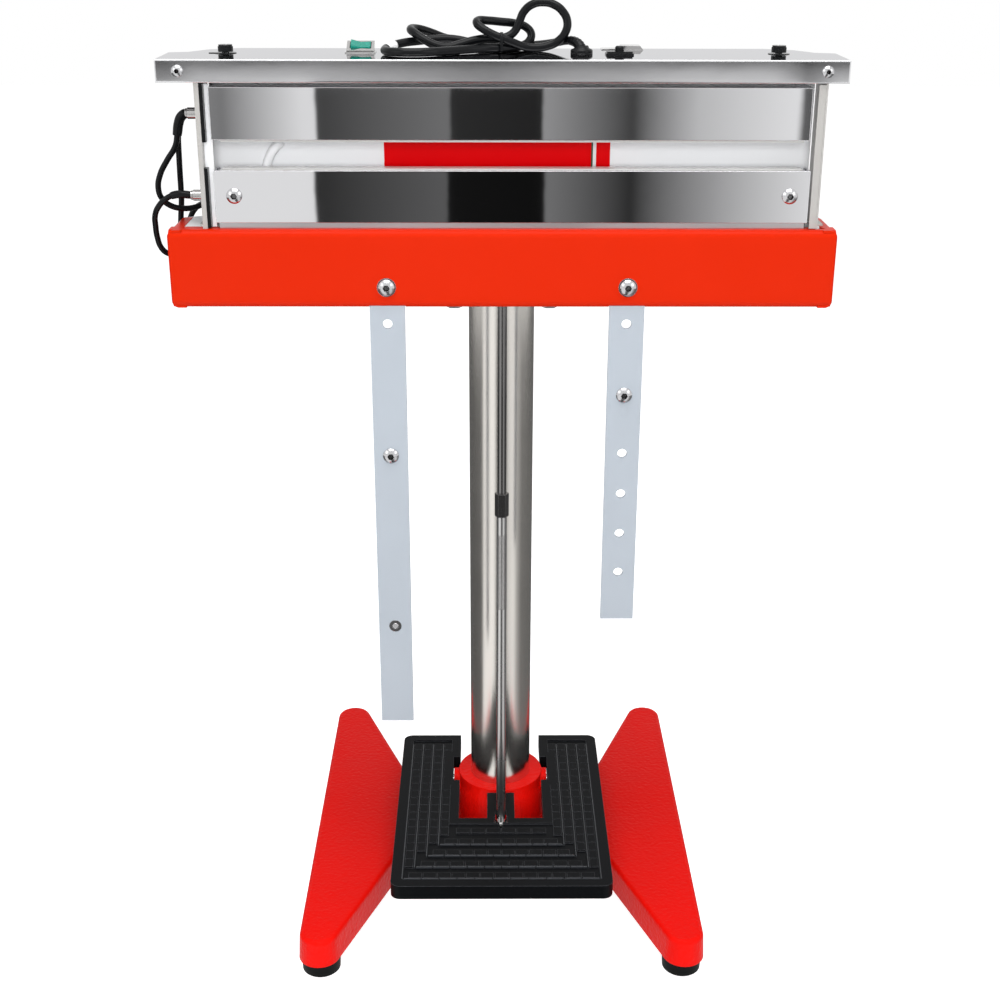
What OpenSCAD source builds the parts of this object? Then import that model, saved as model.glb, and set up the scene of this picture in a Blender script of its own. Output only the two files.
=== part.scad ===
// Foot pedal sealer: a pedal pulls a rod that closes the upper sealing jaw on the lower one.
// Millimetres, +X right, +Y back, +Z up. The origin is on the floor, under the column's axis.

/* [Base] */
// Distance between the outer faces of the two legs
base_w = 374; // [340:2:420]
// Length of a leg from front to back
leg_len = 436; // [400:2:480]
// Width of a leg at its rounded ends
leg_end_w = 36; // [32:1:44]
// Distance that the inner bulge of each leg reaches in from its outer face
leg_bulge = 96; // [80:1:110]
// Height of the casting's top above the floor
base_top = 47; // [44:1:64]
// Height of the casting's lower edge above the floor
base_bottom = 20; // [12:1:22]
// Wall of the hollow casting
base_wall = 7; // [5:0.5:9]
// Fillet along the casting's upper edge
base_fillet = 4; // [2:0.5:6]
// Width of the bar that joins the legs
crossbar_w = 104; // [96:2:120]
// Outer diameter of the collar round the column
collar_d = 85; // [80:1:88]
// Height of the collar's top above the floor
collar_top = 97; // [97:1:104]
// Diameter of the foot pads
foot_d = 37; // [30:1:40]
// Distance of the foot pads in front of and behind the column's axis
foot_y = 191; // [170:1:194]
// Diameter of the foot studs
foot_stud_d = 10; // [8:1:12]

/* [Column] */
// Outer diameter of the column tube
column_d = 60; // [54:1:64]
// Wall of the column tube
column_wall = 1.5; // [1.2:0.1:3]
// Depth of the tube's lower end in the collar
column_seat = 70; // [60:1:72]

/* [Pedal] */
// Width of the pedal
pedal_w = 204; // [190:2:206]
// Distance of the pedal's front edge from the column's axis
pedal_front = 203; // [190:1:212]
// Distance of the pedal's rear edge from the column's axis
pedal_rear = 65; // [58:1:74]
// Height of the pedal's top above the floor
pedal_top = 98; // [96:1:100]
// Depth of the skirt round the pedal
pedal_skirt = 14; // [12:0.5:16]
// Thickness of the pedal's plate
pedal_plate = 5; // [4:0.5:6]
// Wall of the pedal's skirt
pedal_wall = 5; // [4:0.5:6]
// Width of the opening round the collar
pedal_slot_w = 83; // [82:0.5:86]
// Distance of that opening's front edge from the column's axis
pedal_slot_front = 93; // [92:1:97]
// Width of the tab that holds the rod
tab_w = 27; // [22:1:32]
// Distance of the tab's rear edge from the column's axis
tab_rear = 48; // [46:1:54]
// Height of the raised rim and ribs of the tread
tread_h = 1.6; // [1:0.1:2]
// Width of the flat rim round the tread
rim_w = 10; // [8:0.5:12]
// Number of nested ribs in the tread
rib_count = 4; // [3:1:4]
// Distance from one rib to the next on the arms
rib_pitch_x = 10.6; // [9:0.1:11]
// Distance from one rib to the next in front
rib_pitch_y = 18; // [16:0.5:18.5]
// Width of a rib
rib_w = 7.6; // [6:0.2:8]
// Length of one block of a rib
block_len = 13; // [11:0.5:17]
// Gap between two blocks
block_gap = 1.2; // [0.8:0.1:2]
// Height of the pedal's pivot above the floor
pivot_z = 84; // [83:0.5:84.5]
// Diameter of the pivot pins
pivot_d = 10; // [8:0.5:12]
// Outer diameter of the pivot's bosses
boss_d = 24; // [20:1:24]
// Distance between the end faces of the collar's two bosses
boss_span = 95; // [93:1:97]

/* [Pull rod] */
// Distance of the rod in front of the column's axis
rod_y = 86; // [84:1:87]
// Diameter of the upper rod
rod_upper_d = 8; // [7:0.5:9]
// Diameter of the lower rod
rod_lower_d = 9; // [8:0.5:10]
// Height of the joint between the two rods
rod_joint_z = 426; // [380:1:470]
// Length of the coupler nut
coupler_len = 22; // [16:1:30]
// Width of the coupler nut across its flats
coupler_af = 11; // [10.5:0.5:13]
// Radius of the ball nut under the pedal
ball_r = 8; // [7:0.5:9]

/* [Tray] */
// Width of the tray and of the top panel
head_w = 560; // [540:2:600]
// Height of the tray's underside above the floor
tray_bottom = 611; // [560:1:660]
// Height of the tray
tray_h = 66; // [64:1:72]
// Distance of the tray's front face from the column's axis
tray_front = 100; // [99:0.5:104]
// Length of the tray's side walls
tray_side = 57; // [54:1:60]
// Sheet thickness of the tray
tray_t = 2; // [1.5:0.1:2.2]
// Width of the tray's front flange
flange_front = 17; // [15:0.5:18]
// Width of the tray's side flanges
flange_side = 12; // [10:0.5:14]
// Distance of the tray's two screws above its underside
tray_screw_up = 18; // [16:0.5:18]
// Sheet thickness of the chassis
chassis_t = 2; // [1.5:0.1:3]
// Width of the chassis behind the tray
chassis_w = 490; // [440:2:500]
// Distance of the chassis's rear wall behind the column's axis
chassis_rear = 60; // [56:1:70]

/* [Hanging bars] */
// Centre of the left bar
bar_left_x = -98; // [-140:1:-60]
// Centre of the right bar
bar_right_x = 106; // [60:1:140]
// Width of a bar
bar_w = 30; // [25:1:36]
// Thickness of a bar
bar_t = 3; // [2:0.2:3]
// Height of the left bar's lower end above the floor
bar_left_end = 210; // [180:1:280]
// Height of the right bar's lower end above the floor
bar_right_end = 317; // [300:1:350]
// Diameter of the open holes in the bars
bar_hole_d = 8.5; // [7:0.5:10]
// Height of the right bar's highest open hole below the tray
right_hole_top = 479; // [476:1:490]
// Distance from one open hole of the right bar to the next
right_hole_pitch = 38.3; // [34:0.1:40]

/* [Jaws] */
// Length of the jaws
jaw_len = 494; // [480:2:496]
// Centre of the jaws to the right of the column's axis
jaw_x = 8; // [4:0.5:10]
// Distance of the jaw covers' front faces from the column's axis
jaw_front = 92; // [91:0.5:94]
// Distance of the lower jaw's rear face from the column's axis
jaw_rear = 67; // [66:0.5:70]
// Height of the upper jaw's cover
upper_jaw_h = 42; // [38:1:44]
// Height of the lower jaw's cover
lower_jaw_h = 43; // [40:1:45]
// Height of the opening between the covers
jaw_gap = 25; // [24.5:0.5:27]
// Air gap between the two sealing strips when open
seal_gap = 21.6; // [21.4:0.1:22]
// Distance of the lower cover's lower edge above the deck
jaw_lift = 5; // [3:0.5:7]
// Sheet thickness of the jaw covers
cover_t = 1.2; // [1:0.1:1.6]
// Width of the sealing strips
seal_w = 12; // [8:0.5:13]
// Sheet thickness of the carrier plate
carrier_t = 2; // [1.5:0.1:2.5]
// Distance of the carrier plate's front face from the column's axis
carrier_front = 58; // [57:0.5:58.5]

/* [Drive] */
// Height of the crossbeam
beam_h = 12; // [10:0.5:13]
// Running gap between the crossbeam and the deck above it
beam_gap = 5; // [3:0.5:6]
// Distance from the middle to each guide post
post_x = 170; // [130:1:200]
// Diameter of the guide posts
post_d = 10; // [8:0.5:11]
// Radial clearance of every running fit
run_fit = 0.05; // [0.03:0.01:0.08]
// Wire diameter of the return springs
spring_wire = 2.2; // [1.8:0.1:2.6]
// Outer diameter of the return springs
spring_d = 20; // [18:0.5:22]
// Turns of a return spring
spring_turns = 6; // [5:0.5:6.5]

/* [Top panel] */
// Distance from the top of the upper cover to the panel's flange
panel_gap = 4; // [3:0.5:6]
// Height of the panel's flanges
panel_flange = 18; // [16:0.5:22]
// Sheet thickness of the panel and side plates
sheet_t = 1.5; // [1.2:0.1:2]
// Distance of the panel's front face from the column's axis
panel_front = 96; // [95:0.5:98]
// Length of the panel at its two ends
panel_end_len = 60; // [56:1:62]
// Length of the panel in its middle
panel_mid_len = 101; // [96:1:106]
// Distance from the middle to each knob
knob_x = 231; // [200:1:232]
// Distance of the knobs in front of the column's axis
knob_y = 42; // [30:1:42]
// Diameter of the knobs
knob_d = 12.5; // [12:0.5:18]
// Height of the knobs
knob_h = 5.5; // [5:0.5:14]
// Centre of the lit rocker switch
lit_switch_x = -119; // [-126:1:-114]
// Distance of the lit switch in front of the column's axis
lit_switch_y = 33; // [28:1:36]
// Slope of the lit switch's face towards the front
lit_slope = 25; // [20:1:30]
// Length of the lit rocker's frame
lit_l = 23; // [22:0.5:25]
// Tilt of the lit rocker to one side
rocker_tilt = 7; // [5:0.5:8]
// Centre of the circuit breaker
breaker_x = 97; // [92:1:120]
// Distance of the circuit breaker in front of the column's axis
breaker_y = 50; // [46:1:54]
// Length of the circuit breaker's bezel
breaker_l = 23; // [21:0.5:26]
// Width of the circuit breaker's bezel
breaker_w = 14; // [13:0.5:16]
// Diameter of the circuit breaker's reset button
button_reset_d = 7.5; // [6:0.5:9]

/* [Side plates] */
// Distance of the side plates beyond the jaws' ends
plate_clear = 7.5; // [6:0.5:8]
// Depth of the side plates
plate_depth = 43; // [38:1:44]
// Diameter of the lead glands
gland_d = 9.5; // [8:0.5:11]
// Distance of the glands in front of the column's axis
gland_y = 72; // [66:1:80]

/* [Cords] */
// Diameter of the heater leads
lead_d = 5; // [4.5:0.5:5.5]
// Diameter of the mains cord
mains_d = 7; // [6:0.5:7]

/* [Hidden] */
$fn = 48;

RED = [0.93, 0.12, 0.09];
ORANGE = [0.93, 0.20, 0.08];
BLACK = [0.08, 0.08, 0.09];
STEEL = [0.72, 0.72, 0.73];
CHROME = [0.82, 0.82, 0.84];
PALE = [0.92, 0.92, 0.93];
GREY = [0.71, 0.70, 0.69];
BAR = [0.77, 0.81, 0.84];
BRASS = [0.75, 0.60, 0.30];
BROWN = [0.55, 0.36, 0.20];

// Base
leg_r = leg_end_w / 2;
leg_x = base_w / 2 - leg_r;
leg_y = leg_len / 2 - leg_r;
bulge_r = 16;
bulge_x = base_w / 2 - leg_bulge + bulge_r;
bulge_y = 44;
leg_draft = 1.2;
base_h = base_top - base_bottom;
foot_boss_d = foot_stud_d + 14;
column_r = column_d / 2;
collar_r = collar_d / 2;
set_screw_d = 8;
set_screw_z = collar_top - 12;

// Head heights
tray_top = tray_bottom + tray_h;
floor_z = tray_bottom + tray_t;
floor_top = floor_z + chassis_t;
deck_top = tray_top;
deck_bottom = deck_top - chassis_t;
lower_cover_z = deck_top + jaw_lift;
lower_cover_top = lower_cover_z + lower_jaw_h;
upper_cover_z = lower_cover_top + jaw_gap;
upper_cover_top = upper_cover_z + upper_jaw_h;
panel_z = upper_cover_top + panel_gap;
panel_top = panel_z + panel_flange;
seal_bottom = lower_cover_top + (jaw_gap - seal_gap) / 2 - 0.8;
seal_top = seal_bottom + seal_gap;
seal_y = -(jaw_front + jaw_rear) / 2 - 0.5;
fold_r = 6;

// Column
flange_t = 8;
flange_w = 110;
flange_bolt_pitch = 84;
flange_z = tray_bottom - flange_t;
column_z = collar_top - column_seat;
column_len = flange_z - column_z;
bolt_d = 8;
nut_af = 13;
nut_h = 6.5;

// Pedal
boss_r = boss_d / 2;
boss_x = boss_span / 2;
notch_x = boss_x + 1;
notch_front = 24;
notch_back = 21;
hub_l = 11;
pin_len = 20;
pedal_floor = pedal_top - pedal_plate;
pedal_bottom = pedal_top - pedal_skirt;
tread_z = pedal_top - tread_h;
rib_side = pedal_slot_w / 2 + 13;
rib_front = pedal_slot_front + 30;
rod_slot_w = rod_lower_d + 1.6;
rod_slot_back = rod_y - rod_lower_d / 2 - 1.8;
head_slot_w = 13;
head_slot_front = 101;
key_w = 3.4;
key_front = 109;

// Drive
beam_top = deck_bottom - beam_gap;
beam_z = beam_top - beam_h;
beam_front = tray_front - 6.6;
beam_back = carrier_front;
beam_len = 470;
carrier_l = jaw_len + 10;
bush_d = post_d + 4;
rod_top = beam_top + 0.6;
rod_nut_h = 5;
rod_hole_d = rod_upper_d + 4;
ball_top = pedal_floor - 0.4;

// Bars
bar_y = -(tray_front - tray_t - 0.2);
bar_top = tray_bottom + tray_screw_up + 14;
screw_z = tray_bottom + tray_screw_up;
left_screw_z = 477;
left_insert_z = 310;
right_screw_z = 533;
right_plug_z = 518;
right_holes = [for (k = [0 : 3]) right_hole_top - k * right_hole_pitch];
bar_top_hole_z = tray_bottom - 14.6;
button_d = 14;
button_h = 4.4;
washer_d = 16;
washer_t = 1.2;

// Side plates and jaws
left_end = jaw_x - jaw_len / 2;
right_end = jaw_x + jaw_len / 2;
upper_l = jaw_len - 3;
left_front_flange = 4;
left_plate_x = left_end - plate_clear - sheet_t;
right_plate_x = right_end + plate_clear;
plate_front = jaw_front + 1;
rear_tab_x = 85;
upper_gland_z = upper_cover_z + upper_jaw_h * 0.45;
lower_gland_z = lower_cover_z + lower_jaw_h * 0.45;

// Outlines

// Disc with a filleted upper edge and a slight draft
module leg_disc(r) {
    rotate_extrude($fn = 32)
        polygon(concat(
            [[0, 0], [r + leg_draft, 0]],
            [for (a = [0 : 30 : 90])
                [r - base_fillet + base_fillet * cos(a), base_h - base_fillet + base_fillet * sin(a)]],
            [[0, base_h]]
        ));
}

// One leg as the hull of its two ends and its inner bulge
module leg(side) {
    translate([0, 0, base_bottom])
        hull() {
            for (s = [-1, 1]) {
                translate([side * leg_x, s * leg_y, 0])
                    leg_disc(leg_r);
                translate([side * bulge_x, s * bulge_y, 0])
                    leg_disc(bulge_r);
            }
        }
}

// The two points where a line touches two circles on their outer side
function tangent(a, ra, b, rb) =
    let (d = b - a, t = atan2(d[1], d[0]) - 90 + asin((ra - rb) / norm(d)), n = [cos(t), sin(t)])
    [a + ra * n, b + rb * n];

// Plan of the right leg, drawn smaller by inset
module leg_plan(inset) {
    c = [[leg_x, -leg_y], [leg_x, leg_y], [bulge_x, bulge_y], [bulge_x, -bulge_y]];
    r = [leg_r - inset, leg_r - inset, bulge_r - inset, bulge_r - inset];
    polygon([for (i = [0 : 3]) each tangent(c[i], r[i], c[(i + 1) % 4], r[(i + 1) % 4])]);
    for (i = [0 : 3])
        translate(c[i])
            circle(r = r[i]);
}

// Plan of the hollow under the casting, which leaves the collar and the foot bosses solid
module hollow_plan() {
    difference() {
        union() {
            leg_plan(base_wall);
            mirror([1, 0])
                leg_plan(base_wall);
            square([2 * bulge_x, crossbar_w - 2 * base_wall], center = true);
        }
        circle(r = collar_r, $fn = 96);
        for (side = [-1, 1], s = [-1, 1])
            translate([side * leg_x, s * foot_y])
                circle(d = foot_boss_d);
    }
}

module base_casting() {
    color(RED)
        difference() {
            union() {
                leg(-1);
                leg(1);
                translate([-bulge_x, -crossbar_w / 2, base_bottom])
                    cube([2 * bulge_x, crossbar_w, base_h]);
                translate([0, 0, base_bottom])
                    cylinder(r = collar_r, h = collar_top - base_bottom, $fn = 96);
                for (side = [-1, 1])
                    translate([side * boss_x, 0, pivot_z])
                        rotate([0, -side * 90, 0])
                            cylinder(r = boss_r, h = boss_x - column_r - 3);
            }
            translate([0, 0, base_bottom - 1])
                linear_extrude(base_h - base_wall + 1)
                    hollow_plan();
            translate([0, 0, column_z])
                cylinder(r = column_r + run_fit, h = column_seat + 1, $fn = 96);
            for (side = [-1, 1]) {
                translate([side * (boss_x + 1), 0, pivot_z])
                    rotate([0, -side * 90, 0])
                        cylinder(d = pivot_d, h = pin_len - hub_l + 1);
                for (s = [-1, 1])
                    translate([side * leg_x, s * foot_y, base_bottom - 1])
                        cylinder(d = foot_stud_d, h = base_h - base_wall);
            }
            for (a = [-30, 30])
                rotate([0, 0, a])
                    translate([0, column_r - 1, set_screw_z])
                        rotate([-90, 0, 0])
                            cylinder(d = set_screw_d, h = collar_r);
        }
}

module foot_pads() {
    color(BLACK)
        for (side = [-1, 1], s = [-1, 1])
            translate([side * leg_x, s * foot_y, 0])
                rotate_extrude()
                    polygon([
                        [0, 0], [foot_d / 2 - 2, 0], [foot_d / 2 - 0.8, 1.2],
                        [foot_d / 2, base_bottom - 4], [foot_d / 2, base_bottom - 1.5],
                        [foot_d / 2 - 1.5, base_bottom], [0, base_bottom]
                    ]);
}

module foot_studs() {
    color(STEEL)
        for (side = [-1, 1], s = [-1, 1])
            translate([side * leg_x, s * foot_y, base_bottom])
                cylinder(d = foot_stud_d, h = base_h - base_wall - 3);
}

module collar_set_screws() {
    color(BLACK)
        for (a = [-30, 30])
            rotate([0, 0, a])
                translate([0, column_r + run_fit, set_screw_z])
                    rotate([-90, 0, 0])
                        difference() {
                            cylinder(d = set_screw_d, h = collar_r - column_r - 1);
                            translate([0, 0, collar_r - column_r - 4])
                                cylinder(d = 4.6, h = 4, $fn = 6);
                        }
}

module column_tube() {
    color(CHROME)
        translate([0, 0, column_z])
            difference() {
                cylinder(r = column_r, h = column_len, $fn = 96);
                translate([0, 0, -1])
                    cylinder(r = column_r - column_wall, h = column_len + 2, $fn = 96);
            }
}

// Square plate with rounded corners, centred on the column
module rounded_plate(w, r, t) {
    linear_extrude(t) {
        square([w - 2 * r, w], center = true);
        square([w, w - 2 * r], center = true);
        for (sx = [-1, 1], sy = [-1, 1])
            translate([sx * (w / 2 - r), sy * (w / 2 - r)])
                circle(r = r);
    }
}

module column_flange() {
    color(STEEL)
        difference() {
            union() {
                translate([0, 0, flange_z])
                    rounded_plate(flange_w, 8, flange_t);
                translate([0, 0, flange_z - 30])
                    cylinder(r = column_r - column_wall - run_fit, h = 31, $fn = 96);
            }
            translate([0, 0, flange_z - 31])
                cylinder(r = column_r - column_wall - 5, h = 31 + flange_t + 1);
            for (sx = [-1, 1], sy = [-1, 1])
                translate([sx * flange_bolt_pitch / 2, sy * flange_bolt_pitch / 2, flange_z - 1])
                    cylinder(d = bolt_d + 0.6, h = flange_t + 2);
        }
}

module flange_bolts() {
    color(STEEL)
        for (sx = [-1, 1], sy = [-1, 1])
            translate([sx * flange_bolt_pitch / 2, sy * flange_bolt_pitch / 2, 0]) {
                translate([0, 0, flange_z - 5.3])
                    cylinder(d = nut_af / cos(30), h = 5.3, $fn = 6);
                translate([0, 0, flange_z - 1])
                    cylinder(d = bolt_d, h = floor_top - flange_z + nut_h + 2);
                translate([0, 0, floor_top])
                    cylinder(d = nut_af / cos(30), h = nut_h, $fn = 6);
            }
}

// Pedal

// Plan of the pedal's outline with rounded corners, drawn smaller by inset
module pedal_outline(inset) {
    r = 9 - inset * 0.6;
    w = pedal_w / 2 - inset;
    front = -pedal_front + inset;
    back = pedal_rear - inset;
    translate([-w + r, front])
        square([2 * (w - r), back - front]);
    translate([-w, front + r])
        square([2 * w, back - front - 2 * r]);
    for (s = [-1, 1]) {
        translate([s * (w - r), front + r])
            circle(r = r);
        translate([s * (w - r), back - r])
            circle(r = r);
    }
}

// Plan of the opening round the collar and its side bosses, drawn larger by grow
module collar_opening(grow) {
    translate([-pedal_slot_w / 2 - grow, -pedal_slot_front - grow])
        square([pedal_slot_w + 2 * grow, pedal_slot_front + pedal_rear + 2 * grow + 1]);
    translate([-notch_x - grow, -notch_front - grow])
        square([2 * (notch_x + grow), notch_front + notch_back + 2 * grow]);
}

// One nested rib of the tread, broken into blocks; the innermost one is a row without arms
module tread_rib(i) {
    x = rib_side + i * rib_pitch_x;
    y = -rib_front - i * rib_pitch_y;
    arm_back = pedal_rear - rim_w - 8;
    arm_count = floor((arm_back - y) / block_len);
    row_count = floor(2 * x / block_len);
    row_step = 2 * x / row_count;
    if (i >= 0)
        for (s = [-1, 1], k = [0 : arm_count - 1])
            translate([s * x - rib_w / 2, arm_back - (k + 1) * block_len + block_gap,
                       tread_z - 0.5])
                cube([rib_w, block_len - block_gap, tread_h + 0.5]);
    for (k = [0 : row_count - 1])
        translate([-x + k * row_step + block_gap / 2, y - rib_w / 2 - rib_w - block_gap,
                   tread_z - 0.5])
            cube([row_step - block_gap, rib_w, tread_h + 0.5]);
}

module pedal() {
    color(BLACK)
        difference() {
            union() {
                difference() {
                    translate([0, 0, pedal_bottom])
                        linear_extrude(pedal_skirt)
                            difference() {
                                pedal_outline(0);
                                collar_opening(0);
                            }
                    translate([0, 0, pedal_bottom - 1])
                        linear_extrude(pedal_skirt - pedal_plate + 1)
                            difference() {
                                pedal_outline(pedal_wall);
                                collar_opening(pedal_wall);
                            }
                    translate([0, 0, tread_z])
                        linear_extrude(tread_h + 1)
                            difference() {
                                pedal_outline(rim_w);
                                collar_opening(rim_w * 0.9);
                            }
                }
                for (i = [-1 : rib_count - 1])
                    tread_rib(i);
                translate([-tab_w / 2, -pedal_slot_front - 2, pedal_floor])
                    cube([tab_w, pedal_slot_front - tab_rear + 2, pedal_plate]);
                for (side = [-1, 1])
                    translate([side * (notch_x + hub_l / 2), 0, pivot_z])
                        rotate([0, 90, 0])
                            cylinder(d = pivot_d + 10, h = hub_l, center = true);
            }
            for (side = [-1, 1])
                translate([side * (notch_x + hub_l / 2), 0, pivot_z])
                    rotate([0, 90, 0])
                        cylinder(r = pivot_d / 2 + run_fit, h = hub_l + 2, center = true);
            translate([-head_slot_w / 2, -head_slot_front, pedal_floor - 12])
                cube([head_slot_w, head_slot_front - rod_y - 4, pedal_plate + 14]);
            translate([-rod_slot_w / 2, -rod_y - 6, pedal_floor - 12])
                cube([rod_slot_w, rod_y + 6 - rod_slot_back, pedal_plate + 14]);
            translate([-key_w / 2, -key_front, pedal_floor - 12])
                cube([key_w, key_front - head_slot_front + 1, pedal_plate + 14]);
            translate([-ball_r - 3, -head_slot_front - 2, pedal_bottom - 1])
                cube([2 * ball_r + 6, head_slot_front - rod_y + ball_r + 5,
                      pedal_skirt - pedal_plate + 1]);
        }
}

module pivot_pins() {
    color(STEEL)
        for (side = [-1, 1])
            translate([side * (boss_x + hub_l), 0, pivot_z])
                rotate([0, -side * 90, 0])
                    cylinder(d = pivot_d, h = pin_len);
}

// Rods

module ball_nut() {
    color(STEEL)
        translate([0, -rod_y, ball_top - ball_r])
            difference() {
                intersection() {
                    sphere(r = ball_r);
                    translate([0, 0, 1])
                        cube([3 * ball_r, 3 * ball_r, 2 * ball_r], center = true);
                }
                translate([0, 0, -ball_r])
                    cylinder(d = rod_lower_d, h = 3 * ball_r);
            }
}

module lower_rod() {
    color(STEEL)
        translate([0, -rod_y, ball_top - 2 * ball_r + 1])
            cylinder(d = rod_lower_d, h = rod_joint_z - ball_top + 2 * ball_r - 1);
}

module rod_coupler() {
    color(STEEL)
        translate([0, -rod_y, rod_joint_z - coupler_len / 2])
            difference() {
                cylinder(d = coupler_af / cos(30), h = coupler_len, $fn = 6);
                translate([0, 0, -1])
                    cylinder(d = rod_lower_d, h = coupler_len / 2 + 1);
                translate([0, 0, coupler_len / 2 - 1])
                    cylinder(d = rod_upper_d, h = coupler_len / 2 + 2);
            }
}

module upper_rod() {
    color(STEEL)
        translate([0, -rod_y, rod_joint_z])
            cylinder(d = rod_upper_d, h = rod_top - rod_joint_z);
}

module rod_nuts() {
    color(STEEL)
        for (z = [beam_z - rod_nut_h, beam_z - 2 * rod_nut_h - 0.6])
            translate([0, -rod_y, z])
                difference() {
                    cylinder(d = 12 / cos(30), h = rod_nut_h, $fn = 6);
                    translate([0, 0, -1])
                        cylinder(d = rod_upper_d, h = rod_nut_h + 2);
                }
}

// Tray and chassis

// Section of the tray's front: a rounded fold at the top and a short one at the bottom
module tray_section(depth) {
    r = fold_r;
    t = tray_t;
    difference() {
        union() {
            translate([0, r])
                square([r, tray_h - 2 * r]);
            translate([r, 0])
                square([depth - r, tray_h]);
            translate([r, r])
                circle(r = r);
            translate([r, tray_h - r])
                circle(r = r);
        }
        translate([t, r])
            square([depth, tray_h - 2 * r]);
        translate([r, t])
            square([depth, tray_h - 2 * t]);
        translate([r, r])
            circle(r = r - t);
        translate([r, tray_h - r])
            circle(r = r - t);
    }
}

module tray() {
    w = head_w / 2;
    color(ORANGE)
        difference() {
            union() {
                translate([-w + 1, -tray_front, tray_bottom])
                    rotate([90, 0, 90])
                        linear_extrude(head_w - 2)
                            tray_section(flange_front);
                for (s = [-1, 1])
                    translate([s * w, -tray_front + 1, tray_bottom])
                        rotate([90, 0, s < 0 ? 0 : 180])
                            translate([0, 0, s < 0 ? -tray_side + 1 : 0])
                                linear_extrude(tray_side - 1)
                                    tray_section(flange_side);
            }
            for (x = [bar_left_x, bar_right_x]) {
                translate([x, -tray_front - 1, screw_z])
                    rotate([-90, 0, 0])
                        cylinder(d = bolt_d + 0.4, h = 10);
                translate([x - bar_w / 2 - 0.5, -tray_front + tray_t + 0.05, tray_bottom - 1])
                    cube([bar_w + 1, flange_front, 8]);
            }
            translate([0, -rod_y, tray_bottom - 1])
                cylinder(d = rod_hole_d, h = tray_t + 2);
            translate([-rod_hole_d / 2, -rod_y, tray_bottom - 1])
                cube([rod_hole_d, flange_front, tray_t + 2]);
            translate([right_plate_x + sheet_t + 0.5, -tray_front + 9, tray_top - tray_t - 1])
                linear_extrude(tray_t + 2)
                    polygon([[0, 0], [7, 0], [0, 16]]);
        }
}

// Plan of the head: wide inside the tray and narrower behind it
module head_plan(front, inset) {
    wide = head_w / 2 - fold_r - 0.3 - inset;
    slim = chassis_w / 2 - inset;
    step_y = -tray_front + tray_side - inset;
    polygon([
        [-wide, -front], [wide, -front], [wide, step_y], [slim, step_y + 14],
        [slim, chassis_rear - inset], [-slim, chassis_rear - inset], [-slim, step_y + 14],
        [-wide, step_y]
    ]);
}

module chassis() {
    color(PALE)
        difference() {
            translate([0, 0, floor_z])
                linear_extrude(deck_bottom - floor_z)
                    head_plan(beam_front, 0);
            translate([0, 0, floor_top])
                linear_extrude(deck_bottom)
                    head_plan(beam_front + 1, chassis_t);
            translate([0, -rod_y, floor_z - 1])
                cylinder(d = rod_hole_d, h = chassis_t + 2);
            for (sx = [-1, 1], sy = [-1, 1])
                translate([sx * flange_bolt_pitch / 2, sy * flange_bolt_pitch / 2, floor_z - 1])
                    cylinder(d = bolt_d + 0.6, h = chassis_t + 2);
        }
}

module deck() {
    slot_w = carrier_l + 2;
    color(PALE)
        difference() {
            translate([0, 0, deck_bottom])
                linear_extrude(chassis_t)
                    difference() {
                        head_plan(tray_front - flange_front - 0.3, 0);
                        for (s = [-1, 1])
                            translate([s * (head_w / 2 - flange_side / 2), -tray_front + tray_side / 2])
                                square([flange_side + 0.6, tray_side + 0.6], center = true);
                    }
            translate([jaw_x - slot_w / 2, -carrier_front - 0.6, deck_bottom - 1])
                cube([slot_w, carrier_t + 1.2, chassis_t + 2]);
        }
}

// Button head screw with a hexagon socket, its head towards -Y
module button_screw(d, head_d, head_h, len) {
    rotate([90, 0, 0])
        difference() {
            union() {
                intersection() {
                    translate([0, 0, head_h - head_d * 0.68])
                        sphere(r = head_d * 0.68);
                    cylinder(d = head_d, h = head_h);
                }
                translate([0, 0, -len])
                    cylinder(d = d, h = len + 0.5);
            }
            translate([0, 0, head_h - 2.4])
                cylinder(d = head_d * 0.42, h = 3, $fn = 6);
        }
}

module tray_screws() {
    color(STEEL)
        for (x = [bar_left_x, bar_right_x]) {
            translate([x, -tray_front - washer_t, screw_z])
                button_screw(bolt_d, button_d, button_h, tray_t + bar_t + washer_t + nut_h + 1);
            translate([x, -tray_front, screw_z])
                rotate([90, 0, 0])
                    difference() {
                        cylinder(d = washer_d, h = washer_t);
                        translate([0, 0, -1])
                            cylinder(d = bolt_d, h = washer_t + 2);
                    }
        }
}

module tray_nuts() {
    color(STEEL)
        for (x = [bar_left_x, bar_right_x])
            translate([x, bar_y + bar_t, screw_z])
                rotate([-90, 0, 0])
                    rotate([0, 0, 30])
                        difference() {
                            cylinder(d = nut_af / cos(30), h = nut_h, $fn = 6);
                            translate([0, 0, -1])
                                cylinder(d = bolt_d, h = nut_h + 2);
                        }
}

// Flat bar with holes at the listed heights
module flat_bar(x, low, holes) {
    translate([x, bar_y, 0])
        difference() {
            translate([-bar_w / 2, 0, low])
                cube([bar_w, bar_t, bar_top - low]);
            for (z = holes)
                translate([0, -1, z])
                    rotate([-90, 0, 0])
                        cylinder(d = bar_hole_d, h = bar_t + 2);
        }
}

module left_bar() {
    color(BAR)
        flat_bar(bar_left_x, bar_left_end, [screw_z, bar_top_hole_z, left_screw_z, left_insert_z]);
}

module right_bar() {
    color(BAR)
        flat_bar(bar_right_x, bar_right_end,
                 concat([screw_z, bar_top_hole_z, right_screw_z, right_plug_z], right_holes));
}

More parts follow.
